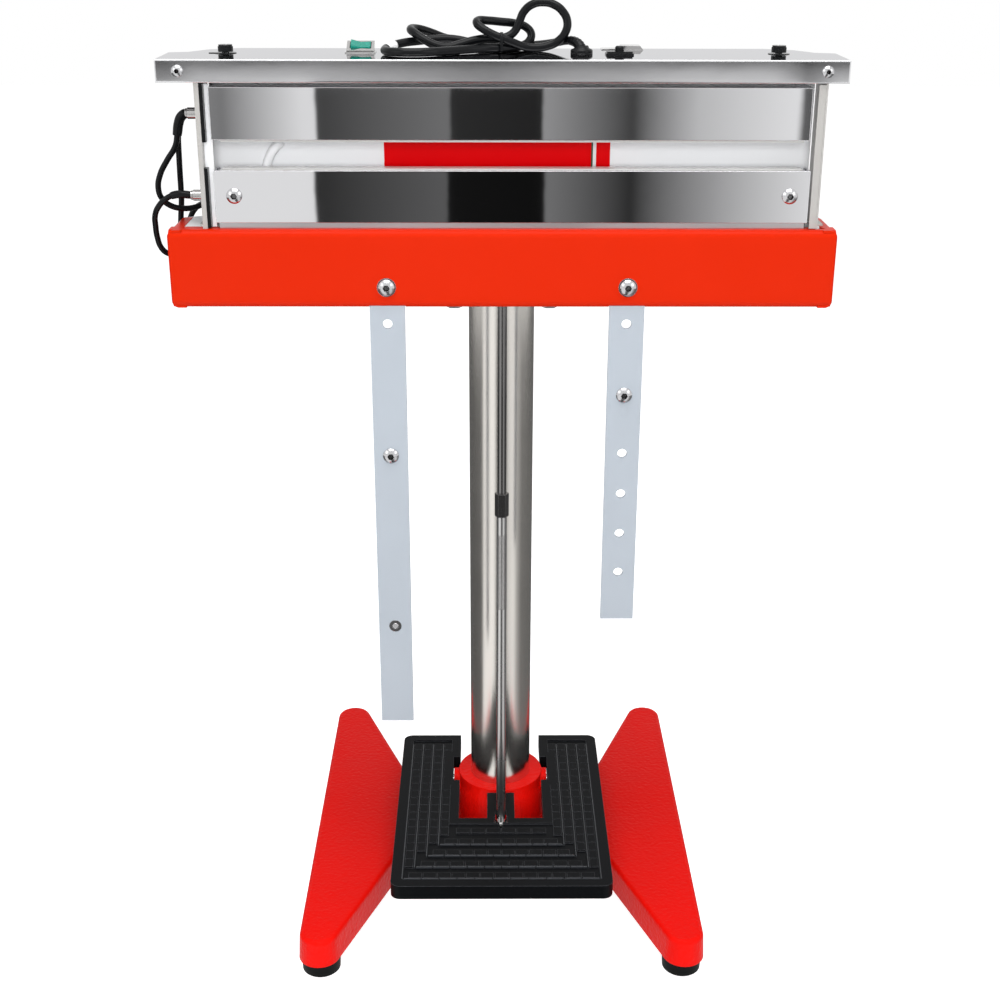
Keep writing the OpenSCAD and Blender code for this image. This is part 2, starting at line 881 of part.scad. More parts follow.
module bar_screws() {
    color(STEEL)
        for (p = [[bar_left_x, left_screw_z], [bar_right_x, right_screw_z]])
            translate([p[0], bar_y, p[1]]) {
                button_screw(bar_hole_d - 0.5, button_d, button_h, bar_t + 5);
                translate([0, bar_t, 0])
                    rotate([-90, 0, 0])
                        difference() {
                            cylinder(d = nut_af / cos(30), h = 4, $fn = 6);
                            translate([0, 0, -1])
                                cylinder(d = bar_hole_d - 0.5, h = 6);
                        }
            }
}

module bar_insert() {
    color(STEEL)
        translate([bar_left_x, bar_y - 0.6, left_insert_z])
            rotate([-90, 0, 0])
                difference() {
                    union() {
                        cylinder(d = bar_hole_d + 3, h = 0.6);
                        cylinder(d = bar_hole_d, h = bar_t + 7);
                    }
                    translate([0, 0, -1])
                        cylinder(d = bar_hole_d - 3, h = bar_t + 9);
                }
}

module bar_plug() {
    color(BAR)
        translate([bar_right_x, bar_y, right_plug_z])
            rotate([-90, 0, 0])
                cylinder(d = bar_hole_d, h = bar_t - 0.4);
}

// Side plates, housing and panel

// Side plate with a foot on the deck, a flange under the panel, room for the panel's screw
// and two gland holes
module side_plate(x, flange_dir, front_flange, glands) {
    difference() {
        union() {
            translate([x, -plate_front, deck_top])
                cube([sheet_t, plate_depth, panel_top - sheet_t - deck_top]);
            translate([flange_dir > 0 ? x : x - front_flange + sheet_t, -plate_front, deck_top])
                cube([front_flange, sheet_t, panel_top - sheet_t - deck_top]);
            translate([flange_dir > 0 ? x : x - 9 + sheet_t, -plate_front + 6, panel_top - 2 * sheet_t])
                cube([9, plate_depth - 8, sheet_t]);
            translate([flange_dir > 0 ? x : x - 9 + sheet_t, -plate_front + 14, deck_top])
                cube([9, plate_depth - 16, sheet_t]);
        }
        translate([x - 10, -plate_front - 1, panel_z + 1])
            cube([20, 9, panel_flange]);
        if (glands)
            for (z = [upper_gland_z, lower_gland_z])
                translate([x - 1, -gland_y, z])
                    rotate([0, 90, 0])
                        cylinder(d = gland_d - 2, h = sheet_t + 2);
    }
}

module left_side_plate() {
    color(GREY)
        side_plate(left_plate_x, -1, left_front_flange, true);
}

module right_side_plate() {
    color(GREY)
        side_plate(right_plate_x, 1, sheet_t, false);
}

module side_insulators() {
    color(BLACK)
        for (z = [[upper_cover_z - 2, upper_jaw_h + 5], [lower_cover_z - 4, lower_jaw_h + 6]])
            translate([left_plate_x + sheet_t, -plate_front + 0.5, z[0]])
                cube([insulator_t, insulator_depth, z[1]]);
}

insulator_t = 3;
insulator_depth = 7;
housing_l = 2 * (-left_plate_x - sheet_t - insulator_t - 0.5);
housing_front = carrier_front - carrier_t - 4;
housing_back = panel_mid_len - panel_front - sheet_t - 0.5;
housing_top = panel_top - sheet_t;
louvre_x = 150;
louvre_l = 40;
core_x = -130;
core_l = 76;
core_h = 74;
coil_l = 20;
coil_h = 42;
board_x = 40;
board_l = 110;
cover_screw_in = 16;

// Plan of the housing, whose rear corners follow the rim of the top panel
module housing_plan(inset) {
    intersection() {
        translate([-housing_l / 2 + inset, -housing_front + inset])
            square([housing_l - 2 * inset, housing_front + housing_back - 2 * inset]);
        panel_plan(sheet_t + 0.3 + inset);
    }
}

module housing() {
    color(PALE)
        difference() {
            translate([0, 0, deck_top])
                linear_extrude(housing_top - deck_top)
                    housing_plan(0);
            translate([0, 0, deck_top - 1])
                linear_extrude(housing_top - deck_top + 2)
                    housing_plan(sheet_t);
            translate([breaker_x - breaker_l / 2, -breaker_y - breaker_w / 2, panel_z])
                cube([breaker_l, breaker_w, panel_flange]);
            for (sx = [-1, 1], k = [0 : 7])
                translate([sx * louvre_x - louvre_l / 2, housing_back - sheet_t - 1,
                           deck_top + 30 + k * 8])
                    cube([louvre_l, sheet_t + 2, 3]);
        }
}

module transformer() {
    core_y = -housing_front + sheet_t + 3;
    core_w = housing_front + housing_back - 2 * sheet_t - 6;
    color([0.35, 0.35, 0.37])
        difference() {
            translate([core_x, core_y, deck_top])
                cube([core_l, core_w, core_h]);
            for (k = [0, 1])
                translate([core_x + 14 + k * (coil_l + 8), core_y - 1, deck_top + 16])
                    cube([coil_l, core_w + 2, coil_h]);
        }
    color(BROWN)
        for (k = [0, 1])
            translate([core_x + 14.3 + k * (coil_l + 8), core_y - 0.5 + 1, deck_top + 16.3])
                cube([coil_l - 0.6, core_w - 1, coil_h - 0.6]);
}

module control_board() {
    board_y = -housing_front + sheet_t + 8;
    color([0.10, 0.40, 0.22]) {
        translate([board_x, board_y, deck_top + 6])
            cube([board_l, 1.6, 72]);
        for (x = [board_x + 6, board_x + board_l - 12])
            translate([x, board_y, deck_top])
                cube([6, 8, 12]);
    }
    color(BLACK)
        for (k = [0 : 2])
            translate([board_x + 16 + k * 28, board_y + 1.6, deck_top + 30])
                cube([20, 16, 15]);
    color(BRASS)
        translate([board_x + 20, board_y + 1.6, deck_top + 56])
            cube([board_l - 40, 10, 10]);
}

// Plan of the panel: full length in the middle and shorter at its ends, drawn smaller by inset
module panel_plan(inset) {
    w = head_w / 2 - inset;
    front = -panel_front + inset;
    end_y = -panel_front + panel_end_len - inset;
    mid_y = -panel_front + panel_mid_len - inset;
    polygon([
        [-w, front], [w, front], [w, end_y], [w - 16, end_y + 5], [w - 30, mid_y - 12],
        [w - 54, mid_y], [-w + 54, mid_y], [-w + 30, mid_y - 12], [-w + 16, end_y + 5], [-w, end_y]
    ]);
}

module top_panel() {
    color(CHROME)
        difference() {
            translate([0, 0, panel_z])
                linear_extrude(panel_flange)
                    panel_plan(0);
            translate([0, 0, panel_z - 1])
                linear_extrude(panel_flange - sheet_t + 1)
                    panel_plan(sheet_t);
            for (s = [-1, 1]) {
                translate([s * knob_x, -knob_y, panel_z])
                    cylinder(d = 8, h = panel_flange + 1);
                translate([s * (head_w / 2 - 18), -panel_front - 1, panel_z + panel_flange / 2])
                    rotate([-90, 0, 0])
                        cylinder(d = 4.4, h = 4);
            }
            translate([lit_switch_x - lit_l / 2 + 2, -lit_switch_y - 5.5, panel_z])
                cube([lit_l - 4, 11, panel_flange + 1]);
            translate([breaker_x - breaker_l / 2 + 2, -breaker_y - breaker_w / 2 + 2, panel_z])
                cube([breaker_l - 4, breaker_w - 4, panel_flange + 1]);
            translate([grommet_x, -grommet_y, panel_z])
                cylinder(d = mains_d + 3, h = panel_flange + 1);
        }
}

module panel_screws() {
    color(STEEL)
        for (s = [-1, 1])
            translate([s * (head_w / 2 - 18), -panel_front, panel_z + panel_flange / 2]) {
                button_screw(4.4, 9.5, 2.9, sheet_t + 6);
                translate([0, sheet_t, 0])
                    rotate([-90, 0, 0])
                        difference() {
                            cylinder(d = 8, h = 3.2, $fn = 6);
                            translate([0, 0, -1])
                                cylinder(d = 4.4, h = 6);
                        }
            }
}

module panel_rear_tab() {
    color(CHROME)
        translate([rear_tab_x, -panel_front + panel_mid_len, panel_top])
            rotate([90, 0, 0])
                linear_extrude(14)
                    polygon([[0, 0], [36, 0], [33, 3.4], [17, 3.6], [15.5, 1], [0, 0.8]]);
}

// Knob with a flat pointer slot, and its shaft down into the potentiometer
module knob(x) {
    color(BLACK)
        translate([x, -knob_y, panel_top + 1.4])
            difference() {
                union() {
                    cylinder(d = knob_d - 1, h = knob_h);
                    cylinder(d = knob_d, h = knob_h * 0.45);
                    translate([0, 0, -panel_flange + 5])
                        cylinder(d = 6, h = panel_flange - 4);
                    for (a = [0 : 30 : 330])
                        rotate([0, 0, a])
                            translate([knob_d / 2 - 0.7, 0, 0])
                                cylinder(d = 1.6, h = knob_h * 0.75, $fn = 16);
                }
                translate([-0.6, 0, knob_h - 0.6])
                    cube([1.2, knob_d, 2]);
            }
}

module left_knob() {
    knob(-knob_x);
}

module right_knob() {
    knob(knob_x);
}

module potentiometers() {
    color(STEEL)
        for (s = [-1, 1])
            translate([s * knob_x, -knob_y, 0])
                difference() {
                    union() {
                        translate([0, 0, panel_z + 3.2])
                            cylinder(d = 16, h = panel_flange - sheet_t - 3.2);
                        translate([0, 0, panel_z + panel_flange - sheet_t - 1])
                            cylinder(d = 7.9, h = sheet_t + 1.6);
                    }
                    translate([0, 0, panel_z + 5])
                        cylinder(d = 6 + 2 * run_fit, h = panel_flange);
                }
}

// Lit rocker switch: a frame with a sloping face, and the rocker tilting about the slope's line
lit_w = 14;
lit_low = 2.4;
lit_high = lit_low + lit_w * tan(lit_slope);
lit_pocket_l = lit_l - 5;
lit_pocket_w = 9.4;
rocker_l = lit_pocket_l - 1.4;
rocker_w = lit_pocket_w - 0.8;

module lit_bezel() {
    color(CHROME)
        translate([lit_switch_x, -lit_switch_y, panel_top])
            difference() {
                union() {
                    translate([-lit_l / 2, 0, 0])
                        rotate([90, 0, 90])
                            linear_extrude(lit_l)
                                polygon([[-lit_w / 2, 0], [lit_w / 2, 0], [lit_w / 2, lit_high],
                                         [lit_w / 2 - 1.6, lit_high], [-lit_w / 2, lit_low]]);
                    translate([-lit_l / 2 - 1.2, -lit_w / 2 - 2, 0])
                        cube([lit_l + 2.4, lit_w + 3, 1]);
                    translate([-lit_l / 2 + 2.1, -5.4, -14])
                        cube([lit_l - 4.2, 10.8, 15]);
                }
                translate([0, 0, (lit_low + lit_high) / 2])
                    rotate([lit_slope, 0, 0])
                        translate([-lit_pocket_l / 2, -lit_pocket_w / 2, -6.4])
                            cube([lit_pocket_l, lit_pocket_w, 12]);
            }
}

module lit_rocker() {
    half = rocker_l / 2;
    color([0.25, 0.75, 0.62])
        translate([lit_switch_x, -lit_switch_y, panel_top + (lit_low + lit_high) / 2])
            rotate([lit_slope, 0, 0])
                rotate([0, rocker_tilt, 0])
                    rotate([90, 0, 0])
                        linear_extrude(rocker_w, center = true)
                            polygon([[-half, -3.8], [half, -3.8], [half, 2.2], [0, 0.8],
                                     [-half, 2.2]]);
}

// Circuit breaker: a low bezel with its body under the panel, and a reset button
module breaker_bezel() {
    color(BLACK)
        translate([breaker_x, -breaker_y, panel_top])
            difference() {
                union() {
                    translate([-breaker_l / 2, -breaker_w / 2, 0])
                        cube([breaker_l, breaker_w, 1.4]);
                    translate([-breaker_l / 2 + 1, -breaker_w / 2 + 1, 0])
                        cube([breaker_l - 2, breaker_w - 2, 2.8]);
                    translate([-breaker_l / 2 + 2.1, -breaker_w / 2 + 2.1, -14])
                        cube([breaker_l - 4.2, breaker_w - 4.2, 15]);
                }
                translate([0, 0, -8])
                    cylinder(r = button_reset_d / 2 + run_fit, h = 12);
            }
}

module reset_button() {
    color(BLACK)
        translate([breaker_x, -breaker_y, panel_top - 5])
            rotate_extrude()
                polygon([[0, 0], [button_reset_d / 2, 0], [button_reset_d / 2, 11],
                         [button_reset_d / 2 - 1, 12], [0, 12.2]]);
}

// Jaws

// Aluminium bar of a jaw with two long hollows, open at both ends
module jaw_bar(z, h, back, cover_l) {
    len = cover_l - 2 * cover_t - 2;
    depth = jaw_front - cover_t - back;
    color(STEEL)
        translate([left_end + cover_t + 1, -jaw_front + cover_t, z])
            rotate([90, 0, 90])
                linear_extrude(len)
                    difference() {
                        square([depth, h]);
                        translate([3, 3])
                            square([depth - 6, h * 0.55 - 4.5]);
                        translate([3, h * 0.55 + 1.5])
                            square([depth - 6, h * 0.45 - 4.5]);
                    }
}

// Folded cover: a front face, closed ends and turned edges at the top and bottom
module jaw_cover(z, h, top_return, bottom_return, end_depth, cover_l) {
    t = cover_t;
    translate([left_end, -jaw_front, z]) {
        cube([cover_l, t, h]);
        translate([0, 0, h - t])
            cube([cover_l, top_return, t]);
        cube([cover_l, bottom_return, t]);
        for (x = [0, cover_l - t])
            translate([x, 0, 0])
                cube([t, end_depth, h]);
    }
}

module lower_jaw() {
    jaw_bar(deck_top, lower_cover_top - cover_t - deck_top, jaw_rear, jaw_len);
}

module lower_cover() {
    color(CHROME)
        difference() {
            jaw_cover(lower_cover_z, lower_jaw_h, 5, 1.2, jaw_front - jaw_rear, jaw_len);
            for (x = [left_end + cover_screw_in, right_end - cover_screw_in])
                translate([x, -jaw_front - 1, lower_cover_z + lower_jaw_h * 0.52])
                    rotate([-90, 0, 0])
                        cylinder(d = 6.4, h = 4);
        }
}

module lower_cover_screws() {
    color(STEEL)
        for (x = [left_end + cover_screw_in, right_end - cover_screw_in])
            translate([x, -jaw_front, lower_cover_z + lower_jaw_h * 0.52])
                button_screw(6, 13, 4, cover_t);
}

// Sealing strip: insulating tape, heating ribbon and its non-stick cover as one laid-up piece
module seal_strip(z, h) {
    translate([jaw_x - jaw_len / 2 + 6, seal_y - seal_w / 2, z])
        cube([jaw_len - 12, seal_w, h]);
}

module lower_seal_strip() {
    color(BROWN)
        seal_strip(lower_cover_top - cover_t, seal_bottom - lower_cover_top + cover_t);
}

module carrier_plate() {
    color(PALE)
        translate([jaw_x - carrier_l / 2, -carrier_front, beam_z])
            cube([carrier_l, carrier_t, upper_cover_top + 2 - beam_z]);
}

module crossbeam() {
    color(STEEL)
        difference() {
            translate([-beam_len / 2 + jaw_x, -beam_front + 0.8, beam_z])
                cube([beam_len, beam_front - 0.8 - beam_back, beam_h]);
            translate([0, -rod_y, beam_z - 1])
                cylinder(d = rod_upper_d, h = beam_h + 2);
            for (s = [-1, 1])
                translate([s * post_x, -(beam_front + beam_back) / 2, beam_z - 1])
                    cylinder(d = bush_d, h = beam_h + 2);
        }
}

module upper_jaw() {
    jaw_bar(upper_cover_z + cover_t, upper_jaw_h - 2 * cover_t, carrier_front, upper_l);
}

module upper_cover() {
    color(CHROME)
        jaw_cover(upper_cover_z, upper_jaw_h, 20, 5, jaw_front - carrier_front, upper_l);
}

module upper_seal_strip() {
    color(BROWN)
        seal_strip(seal_top, upper_cover_z + cover_t - seal_top);
}

module guide_posts() {
    color(STEEL)
        for (s = [-1, 1])
            translate([s * post_x, -(beam_front + beam_back) / 2, floor_top])
                cylinder(d = post_d, h = deck_bottom - floor_top);
}

module guide_bushes() {
    color(BRASS)
        for (s = [-1, 1])
            translate([s * post_x, -(beam_front + beam_back) / 2, beam_z])
                difference() {
                    cylinder(d = bush_d, h = beam_h);
                    translate([0, 0, -1])
                        cylinder(r = post_d / 2 + run_fit, h = beam_h + 2);
                }
}

spring_r = (spring_d - spring_wire) / 2;
spring_h = beam_z - floor_top - spring_wire - 0.6;
spring_steps = 14;
spring_sides = 6;

// Points round the wire at one step of the helix
function wire_ring(k) = let (a = 360 * k / spring_steps, z = spring_h * k / (spring_steps * spring_turns))
    [for (j = [0 : spring_sides - 1])
        let (b = 360 * j / spring_sides, r = spring_r + spring_wire / 2 * cos(b))
        [r * cos(a), r * sin(a), z + spring_wire / 2 * sin(b)]];

// Faces between rings of a swept tube with closed ends
function tube_faces(rings, sides) = concat(
    [[for (j = [0 : sides - 1]) j]],
    [for (k = [0 : rings - 2], j = [0 : sides - 1])
        [k * sides + j, (k + 1) * sides + j, (k + 1) * sides + (j + 1) % sides]],
    [for (k = [0 : rings - 2], j = [0 : sides - 1])
        [k * sides + j, (k + 1) * sides + (j + 1) % sides, k * sides + (j + 1) % sides]],
    [[for (j = [sides - 1 : -1 : 0]) (rings - 1) * sides + j]]
);

module return_springs() {
    rings = floor(spring_steps * spring_turns) + 1;
    color(STEEL)
        for (s = [-1, 1])
            translate([s * post_x, -(beam_front + beam_back) / 2, floor_top + spring_wire / 2 + 0.3])
                polyhedron([for (k = [0 : rings - 1]) each wire_ring(k)],
                           tube_faces(rings, spring_sides));
}

// Cords

grommet_x = 66;
grommet_y = 42;
grommet_h = 1.6;
entry_h = 2;

// Gland with its nut against the side plate, its body outside and its tail inside
module gland(z) {
    translate([left_plate_x, -gland_y, z])
        rotate([0, -90, 0])
            difference() {
                union() {
                    cylinder(d = 13, h = 3.4, $fn = 6);
                    translate([0, 0, 3.4])
                        cylinder(d = gland_d, h = 9);
                    translate([0, 0, 12.4])
                        cylinder(d = gland_d - 1.6, h = 2);
                    translate([0, 0, -sheet_t - 4])
                        cylinder(d = gland_d - 2, h = sheet_t + 5);
                }
                translate([0, 0, 8])
                    cylinder(d = lead_d, h = 8);
            }
}

// Small round entry on a side wall, its face towards -X
module wall_entry(p) {
    translate(p)
        rotate([0, 90, 0])
            cylinder(d = lead_d + 5, h = entry_h);
}

module cord_glands() {
    color(CHROME) {
        gland(upper_gland_z);
        gland(lower_gland_z);
        wall_entry(upper_loop_path[len(upper_loop_path) - 1]);
        wall_entry(upper_down_path[len(upper_down_path) - 1]);
        wall_entry(lower_path[len(lower_path) - 1]);
    }
    color(BLACK)
        translate([grommet_x, -grommet_y, panel_top])
            difference() {
                union() {
                    cylinder(d = mains_d + 7, h = grommet_h);
                    translate([0, 0, -sheet_t - 2])
                        cylinder(d = mains_d + 3, h = sheet_t + 3);
                }
                translate([0, 0, -sheet_t - 3])
                    cylinder(d = mains_d, h = sheet_t + grommet_h + 4);
            }
}

function unit(a) = a / norm(a);

// Points round a cord at point k of its path; side is a direction the path never runs along
function cord_ring(path, k, r, sides, side) =
    let (a = path[max(k - 1, 0)], b = path[min(k + 1, len(path) - 1)], t = unit(b - a),
         v = unit(side - t * (side * t)), u = cross(t, v))
    [for (j = [0 : sides - 1]) path[k] + r * (cos(360 * j / sides) * u + sin(360 * j / sides) * v)];

module swept_cord(path, d, side) {
    sides = 10;
    polyhedron([for (k = [0 : len(path) - 1]) each cord_ring(path, k, d / 2, sides, side)],
               tube_faces(len(path), sides));
}

housing_x = -housing_l / 2;
chassis_x = -chassis_w / 2;

// Upper lead: out of the gland, round in a wide loop and back into the housing
upper_loop_path = [
    [left_plate_x - 9, -gland_y, upper_gland_z], [left_plate_x - 14, -gland_y, upper_gland_z],
    [-266.5, -72, 765.5], [-269, -71.5, 759.5], [-270.5, -71, 752], [-273, -70, 742],
    [-281, -69, 730], [-288, -68, 718], [-291, -66, 706], [-289, -63, 696.5],
    [-283, -59, 690], [-274, -55, 687], [-264, -49, 687], [-255, -43.5, 690],
    [-249, -42, 692], [housing_x - entry_h, -42, 692]
];
// Second upper lead: straight down beside the first, round behind the tray's rim and back up
upper_down_path = [
    [-270.8, -65.4, 753], [-271.5, -64.6, 744], [-272.5, -61, 731], [-274, -55, 715],
    [-275, -50.5, 704], [-276.5, -45, 691], [-279, -39.5, 678], [-280, -38.5, 668],
    [-280.5, -37, 660], [-280, -32, 653], [-279.5, -25.5, 651.3], [-278.5, -19.8, 655],
    [-277.5, -17.5, 663], [-275, -18.5, 672], [-270, -22, 680], [-262, -28, 686],
    [-254, -32.5, 688], [housing_x - entry_h - 4, -33, 688],
    [housing_x - entry_h, -33, 688]
];
// Lower lead: out of its gland, down outside the tray and in behind it
lower_path = [
    [left_plate_x - 9, -gland_y, lower_gland_z], [left_plate_x - 14, -gland_y, lower_gland_z],
    [-271, -71.5, 702], [-278, -70.5, 701], [-285, -70, 697.5], [-292, -67.5, 690.5],
    [-296.5, -62, 682], [-298, -56.5, 672.5], [-298.5, -51, 661.5], [-297, -45.5, 651],
    [-293, -40.5, 645], [-286.5, -36, 642.5], [-278, -31.5, 642], [-266, -26, 643.5],
    [-254, -20.5, 645.5], [-249, -19, 646], [chassis_x - entry_h, -19, 646]
];
// Mains cord from its grommet to the hank, and from the hank over the panel's rear edge
mains_path = [
    [66, -42, 813], [66, -42, 818], [65, -41, 822], [62, -38.8, 824.5], [58.6, -37.5, 825.5]
];
tail_path = [
    [-40, -8, 822], [-40, -2, 822], [-40, 5, 821.5], [-40, 10.5, 817], [-40, 12.5, 809],
    [-40, 12.5, 795], [-40, 12.5, 780]
];

module upper_lead_loop() {
    color(BLACK)
        swept_cord(upper_loop_path, lead_d, [0, 1, 0]);
}

module upper_lead_down() {
    color(BLACK)
        swept_cord(upper_down_path, lead_d, [1, 0.3, 0.2]);
}

module lower_lead() {
    color(BLACK)
        swept_cord(lower_path, lead_d, [0, 1, 0]);
}

module mains_cord() {
    color(BLACK)
        swept_cord(mains_path, mains_d, [0, 1, 0]);
}

module mains_tail() {
    color(BLACK)
        swept_cord(tail_path, mains_d, [1, 0, 0]);
}

// Outer shape of the tied hank: its outline from the front, and its low loops at the left
module mains_hank() {
    color(BLACK) {
        translate([0, -8, 0])
            rotate([90, 0, 0])
                linear_extrude(36) {
                    polygon([
                        [-99, 814], [-99, 819], [-90, 825], [-82, 833], [-76, 835.5], [-70, 835],
                        [-56, 829.5], [-30, 829.5], [-26, 841], [-21, 843], [0, 840], [14, 838],
                        [34, 830], [56, 830], [56, 814]
                    ]);
                    difference() {
                        translate([34, 834])
                            circle(r = 24);
                        translate([0, 804])
                            square([70, 10]);
                    }
                }
        translate([-99, -76, 814])
            cube([44, 40, 11]);
    }
}

module mains_plug() {
    color(BLACK)
        translate([-40, 12.5, 0]) {
            translate([0, 0, 762])
                cylinder(d = 11, h = 18);
            translate([0, 7, 734])
                rotate([90, 0, 0])
                    linear_extrude(14)
                        polygon([[-16, 0], [16, 0], [18, 3], [18, 20], [9, 32], [-9, 32], [-18, 20],
                                 [-18, 3]]);
        }
    color(BRASS)
        for (s = [-1, 1])
            translate([-40 + s * 9.5, 12.5, 715])
                cylinder(d = 4.8, h = 20);
}

base_casting();
foot_pads();
foot_studs();
collar_set_screws();
column_tube();
column_flange();
flange_bolts();
pedal();
pivot_pins();
ball_nut();
lower_rod();
rod_coupler();
upper_rod();
rod_nuts();
tray();
chassis();
deck();
tray_screws();
tray_nuts();
left_bar();
right_bar();
bar_screws();
bar_insert();
bar_plug();
left_side_plate();
right_side_plate();
side_insulators();
housing();
transformer();
control_board();
top_panel();
panel_screws();
panel_rear_tab();
left_knob();
right_knob();
potentiometers();
lit_rocker();
lit_bezel();
reset_button();
breaker_bezel();
lower_jaw();
lower_cover();
lower_cover_screws();
lower_seal_strip();
carrier_plate();
crossbeam();
upper_jaw();
upper_cover();
upper_seal_strip();
guide_posts();
guide_bushes();
return_springs();
cord_glands();
upper_lead_loop();
upper_lead_down();
lower_lead();
mains_cord();
mains_hank();
mains_tail();
mains_plug();
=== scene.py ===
# %% [markdown]
# A foot pedal sealer closes the mouths of plastic bags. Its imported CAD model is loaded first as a
# fixed frame: each CAD part keeps its place and its size, and this file gives it paint, metal
# and rubber, and adds the thin things that a solid model leaves out.
# Everything is in metres; the helper at() turns millimetres, which suit this machine, into metres.

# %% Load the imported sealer
import math

import bmesh
import bpy
from mathutils import Matrix, Vector


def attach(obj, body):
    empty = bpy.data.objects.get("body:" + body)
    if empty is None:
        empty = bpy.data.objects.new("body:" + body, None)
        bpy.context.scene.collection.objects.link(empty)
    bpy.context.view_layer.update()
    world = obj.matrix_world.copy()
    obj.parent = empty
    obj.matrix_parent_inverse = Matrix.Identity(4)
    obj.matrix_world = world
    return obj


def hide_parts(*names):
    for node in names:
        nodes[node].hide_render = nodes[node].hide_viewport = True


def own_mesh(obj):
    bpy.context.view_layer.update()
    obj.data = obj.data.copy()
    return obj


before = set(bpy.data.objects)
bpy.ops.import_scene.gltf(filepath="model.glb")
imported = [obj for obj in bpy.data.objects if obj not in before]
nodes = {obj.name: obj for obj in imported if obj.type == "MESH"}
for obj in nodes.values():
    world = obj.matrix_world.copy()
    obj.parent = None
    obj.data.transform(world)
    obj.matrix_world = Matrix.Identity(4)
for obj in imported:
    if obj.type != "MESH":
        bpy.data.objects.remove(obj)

scene = bpy.context.scene
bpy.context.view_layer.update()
MM = 0.001


def at(x, y, z):
    return Vector((x * MM, y * MM, z * MM))


# %% [markdown]
# The photograph is taken from the front, a little above the top panel, and shows the whole
# machine. One camera with a 54 mm lens stands 1.35 m in front of the column and looks down by 22
# degrees, turned and tilted by less than half a degree as a hand-held camera is. It is made
# first.

# %% Camera
CAMERA_PLACE = (-0.0117, -1.3537, 0.9337)
LOOK_DOWN, TURN_RIGHT, TILT = 21.663, 0.457, 0.14
lens = bpy.data.cameras.new("front_camera")
lens.lens, lens.sensor_width, lens.clip_start = 54.44, 36.0, 0.05
camera = bpy.data.objects.new("front_camera", lens)
camera.location = CAMERA_PLACE
camera.rotation_euler = (Matrix.Rotation(math.radians(-TURN_RIGHT), 3, "Z")
                         @ Matrix.Rotation(math.radians(90 - LOOK_DOWN), 3, "X")
                         @ Matrix.Rotation(math.radians(TILT), 3, "Z")).to_euler()
scene.collection.objects.link(camera)
scene.camera = camera
print("camera looks down by", LOOK_DOWN, "degrees")

# %% [markdown]
# A cord is a line with a thickness. A curve with automatic handles bends like a real lead,
# without corners, through a given list of points. The helper lay_cord() makes
# such a curve, and tube_along() makes a mesh tube whose radius changes, for sleeves, reliefs
# and ties that sit on a cord.

# %% Helpers for cords
def link(name, data, body):
    piece = bpy.data.objects.new(name, data)
    scene.collection.objects.link(piece)
    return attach(piece, body)


def lay_cord(name, route, diameter, body="frame"):
    data = bpy.data.curves.new(name, "CURVE")
    data.dimensions = "3D"
    spline = data.splines.new("BEZIER")
    spline.bezier_points.add(len(route) - 1)
    for knot, point in zip(spline.bezier_points, route):
        knot.co = at(*point)
        knot.handle_left_type = knot.handle_right_type = "AUTO"
        knot.radius = diameter * MM / 2
    data.bevel_depth = 1.0
    data.bevel_resolution = 5
    data.resolution_u = 8
    data.use_fill_caps = True
    return link(name, data, body)


def smooth_line(route, steps=8):
    line = []
    for i in range(len(route) - 1):
        a, b, c, d = (Vector(route[k]) for k in
                      (max(i - 1, 0), i, i + 1, min(i + 2, len(route) - 1)))
        for k in range(steps):
            t = k / steps
            line.append(0.5 * (2 * b + (c - a) * t + (2 * a - 5 * b + 4 * c - d) * t ** 2
                               + (3 * b - a - 3 * c + d) * t ** 3))
    return line + [Vector(route[-1])]


def line_length(line):
    return sum((b - a).length for a, b in zip(line, line[1:]))


def cut_line(line, start, end):
    """The stretch of a line between two distances along it."""
    kept, run = [], 0.0
    for a, b in zip(line, line[1:]):
        if start <= run <= end:
            kept.append(a)
        run += (b - a).length
    return kept


def mesh_piece(name, build, body, smooth=True):
    """A mesh object made by build(), which fills a bmesh."""
    mesh = bpy.data.meshes.new(name)
    work = bmesh.new()
    build(work)
    bmesh.ops.recalc_face_normals(work, faces=work.faces)
    work.to_mesh(mesh)
    work.free()
    for face in mesh.polygons:
        face.use_smooth = smooth
    return link(name, mesh, body)


def tube_along(work, line, radii, sides=20, closed=False):
    """Rings of the given radii (mm) carried along a line (mm) without twisting."""
    rings, side = [], None
    count = len(line)
    for i, point in enumerate(line):
        before, after = line[max(i - 1, 0)], line[min(i + 1, count - 1)]
        if closed:
            before, after = line[i - 1], line[(i + 1) % count]
        ahead = (after - before).normalized()
        if side is None:
            side = ahead.orthogonal().normalized()
        side = (side - ahead * side.dot(ahead)).normalized()
        other = ahead.cross(side)
        rings.append([work.verts.new((point + radii[i] * (
            side * math.cos(2 * math.pi * k / sides)
            + other * math.sin(2 * math.pi * k / sides))) * MM) for k in range(sides)])
    pairs = list(zip(rings, rings[1:])) + ([(rings[-1], rings[0])] if closed else [])
    for low, high in pairs:
        for k in range(sides):
            work.faces.new((low[k], low[(k + 1) % sides], high[(k + 1) % sides], high[k]))
    if not closed:
        work.faces.new(rings[0])
        work.faces.new(rings[-1])


print("cord helpers ready")
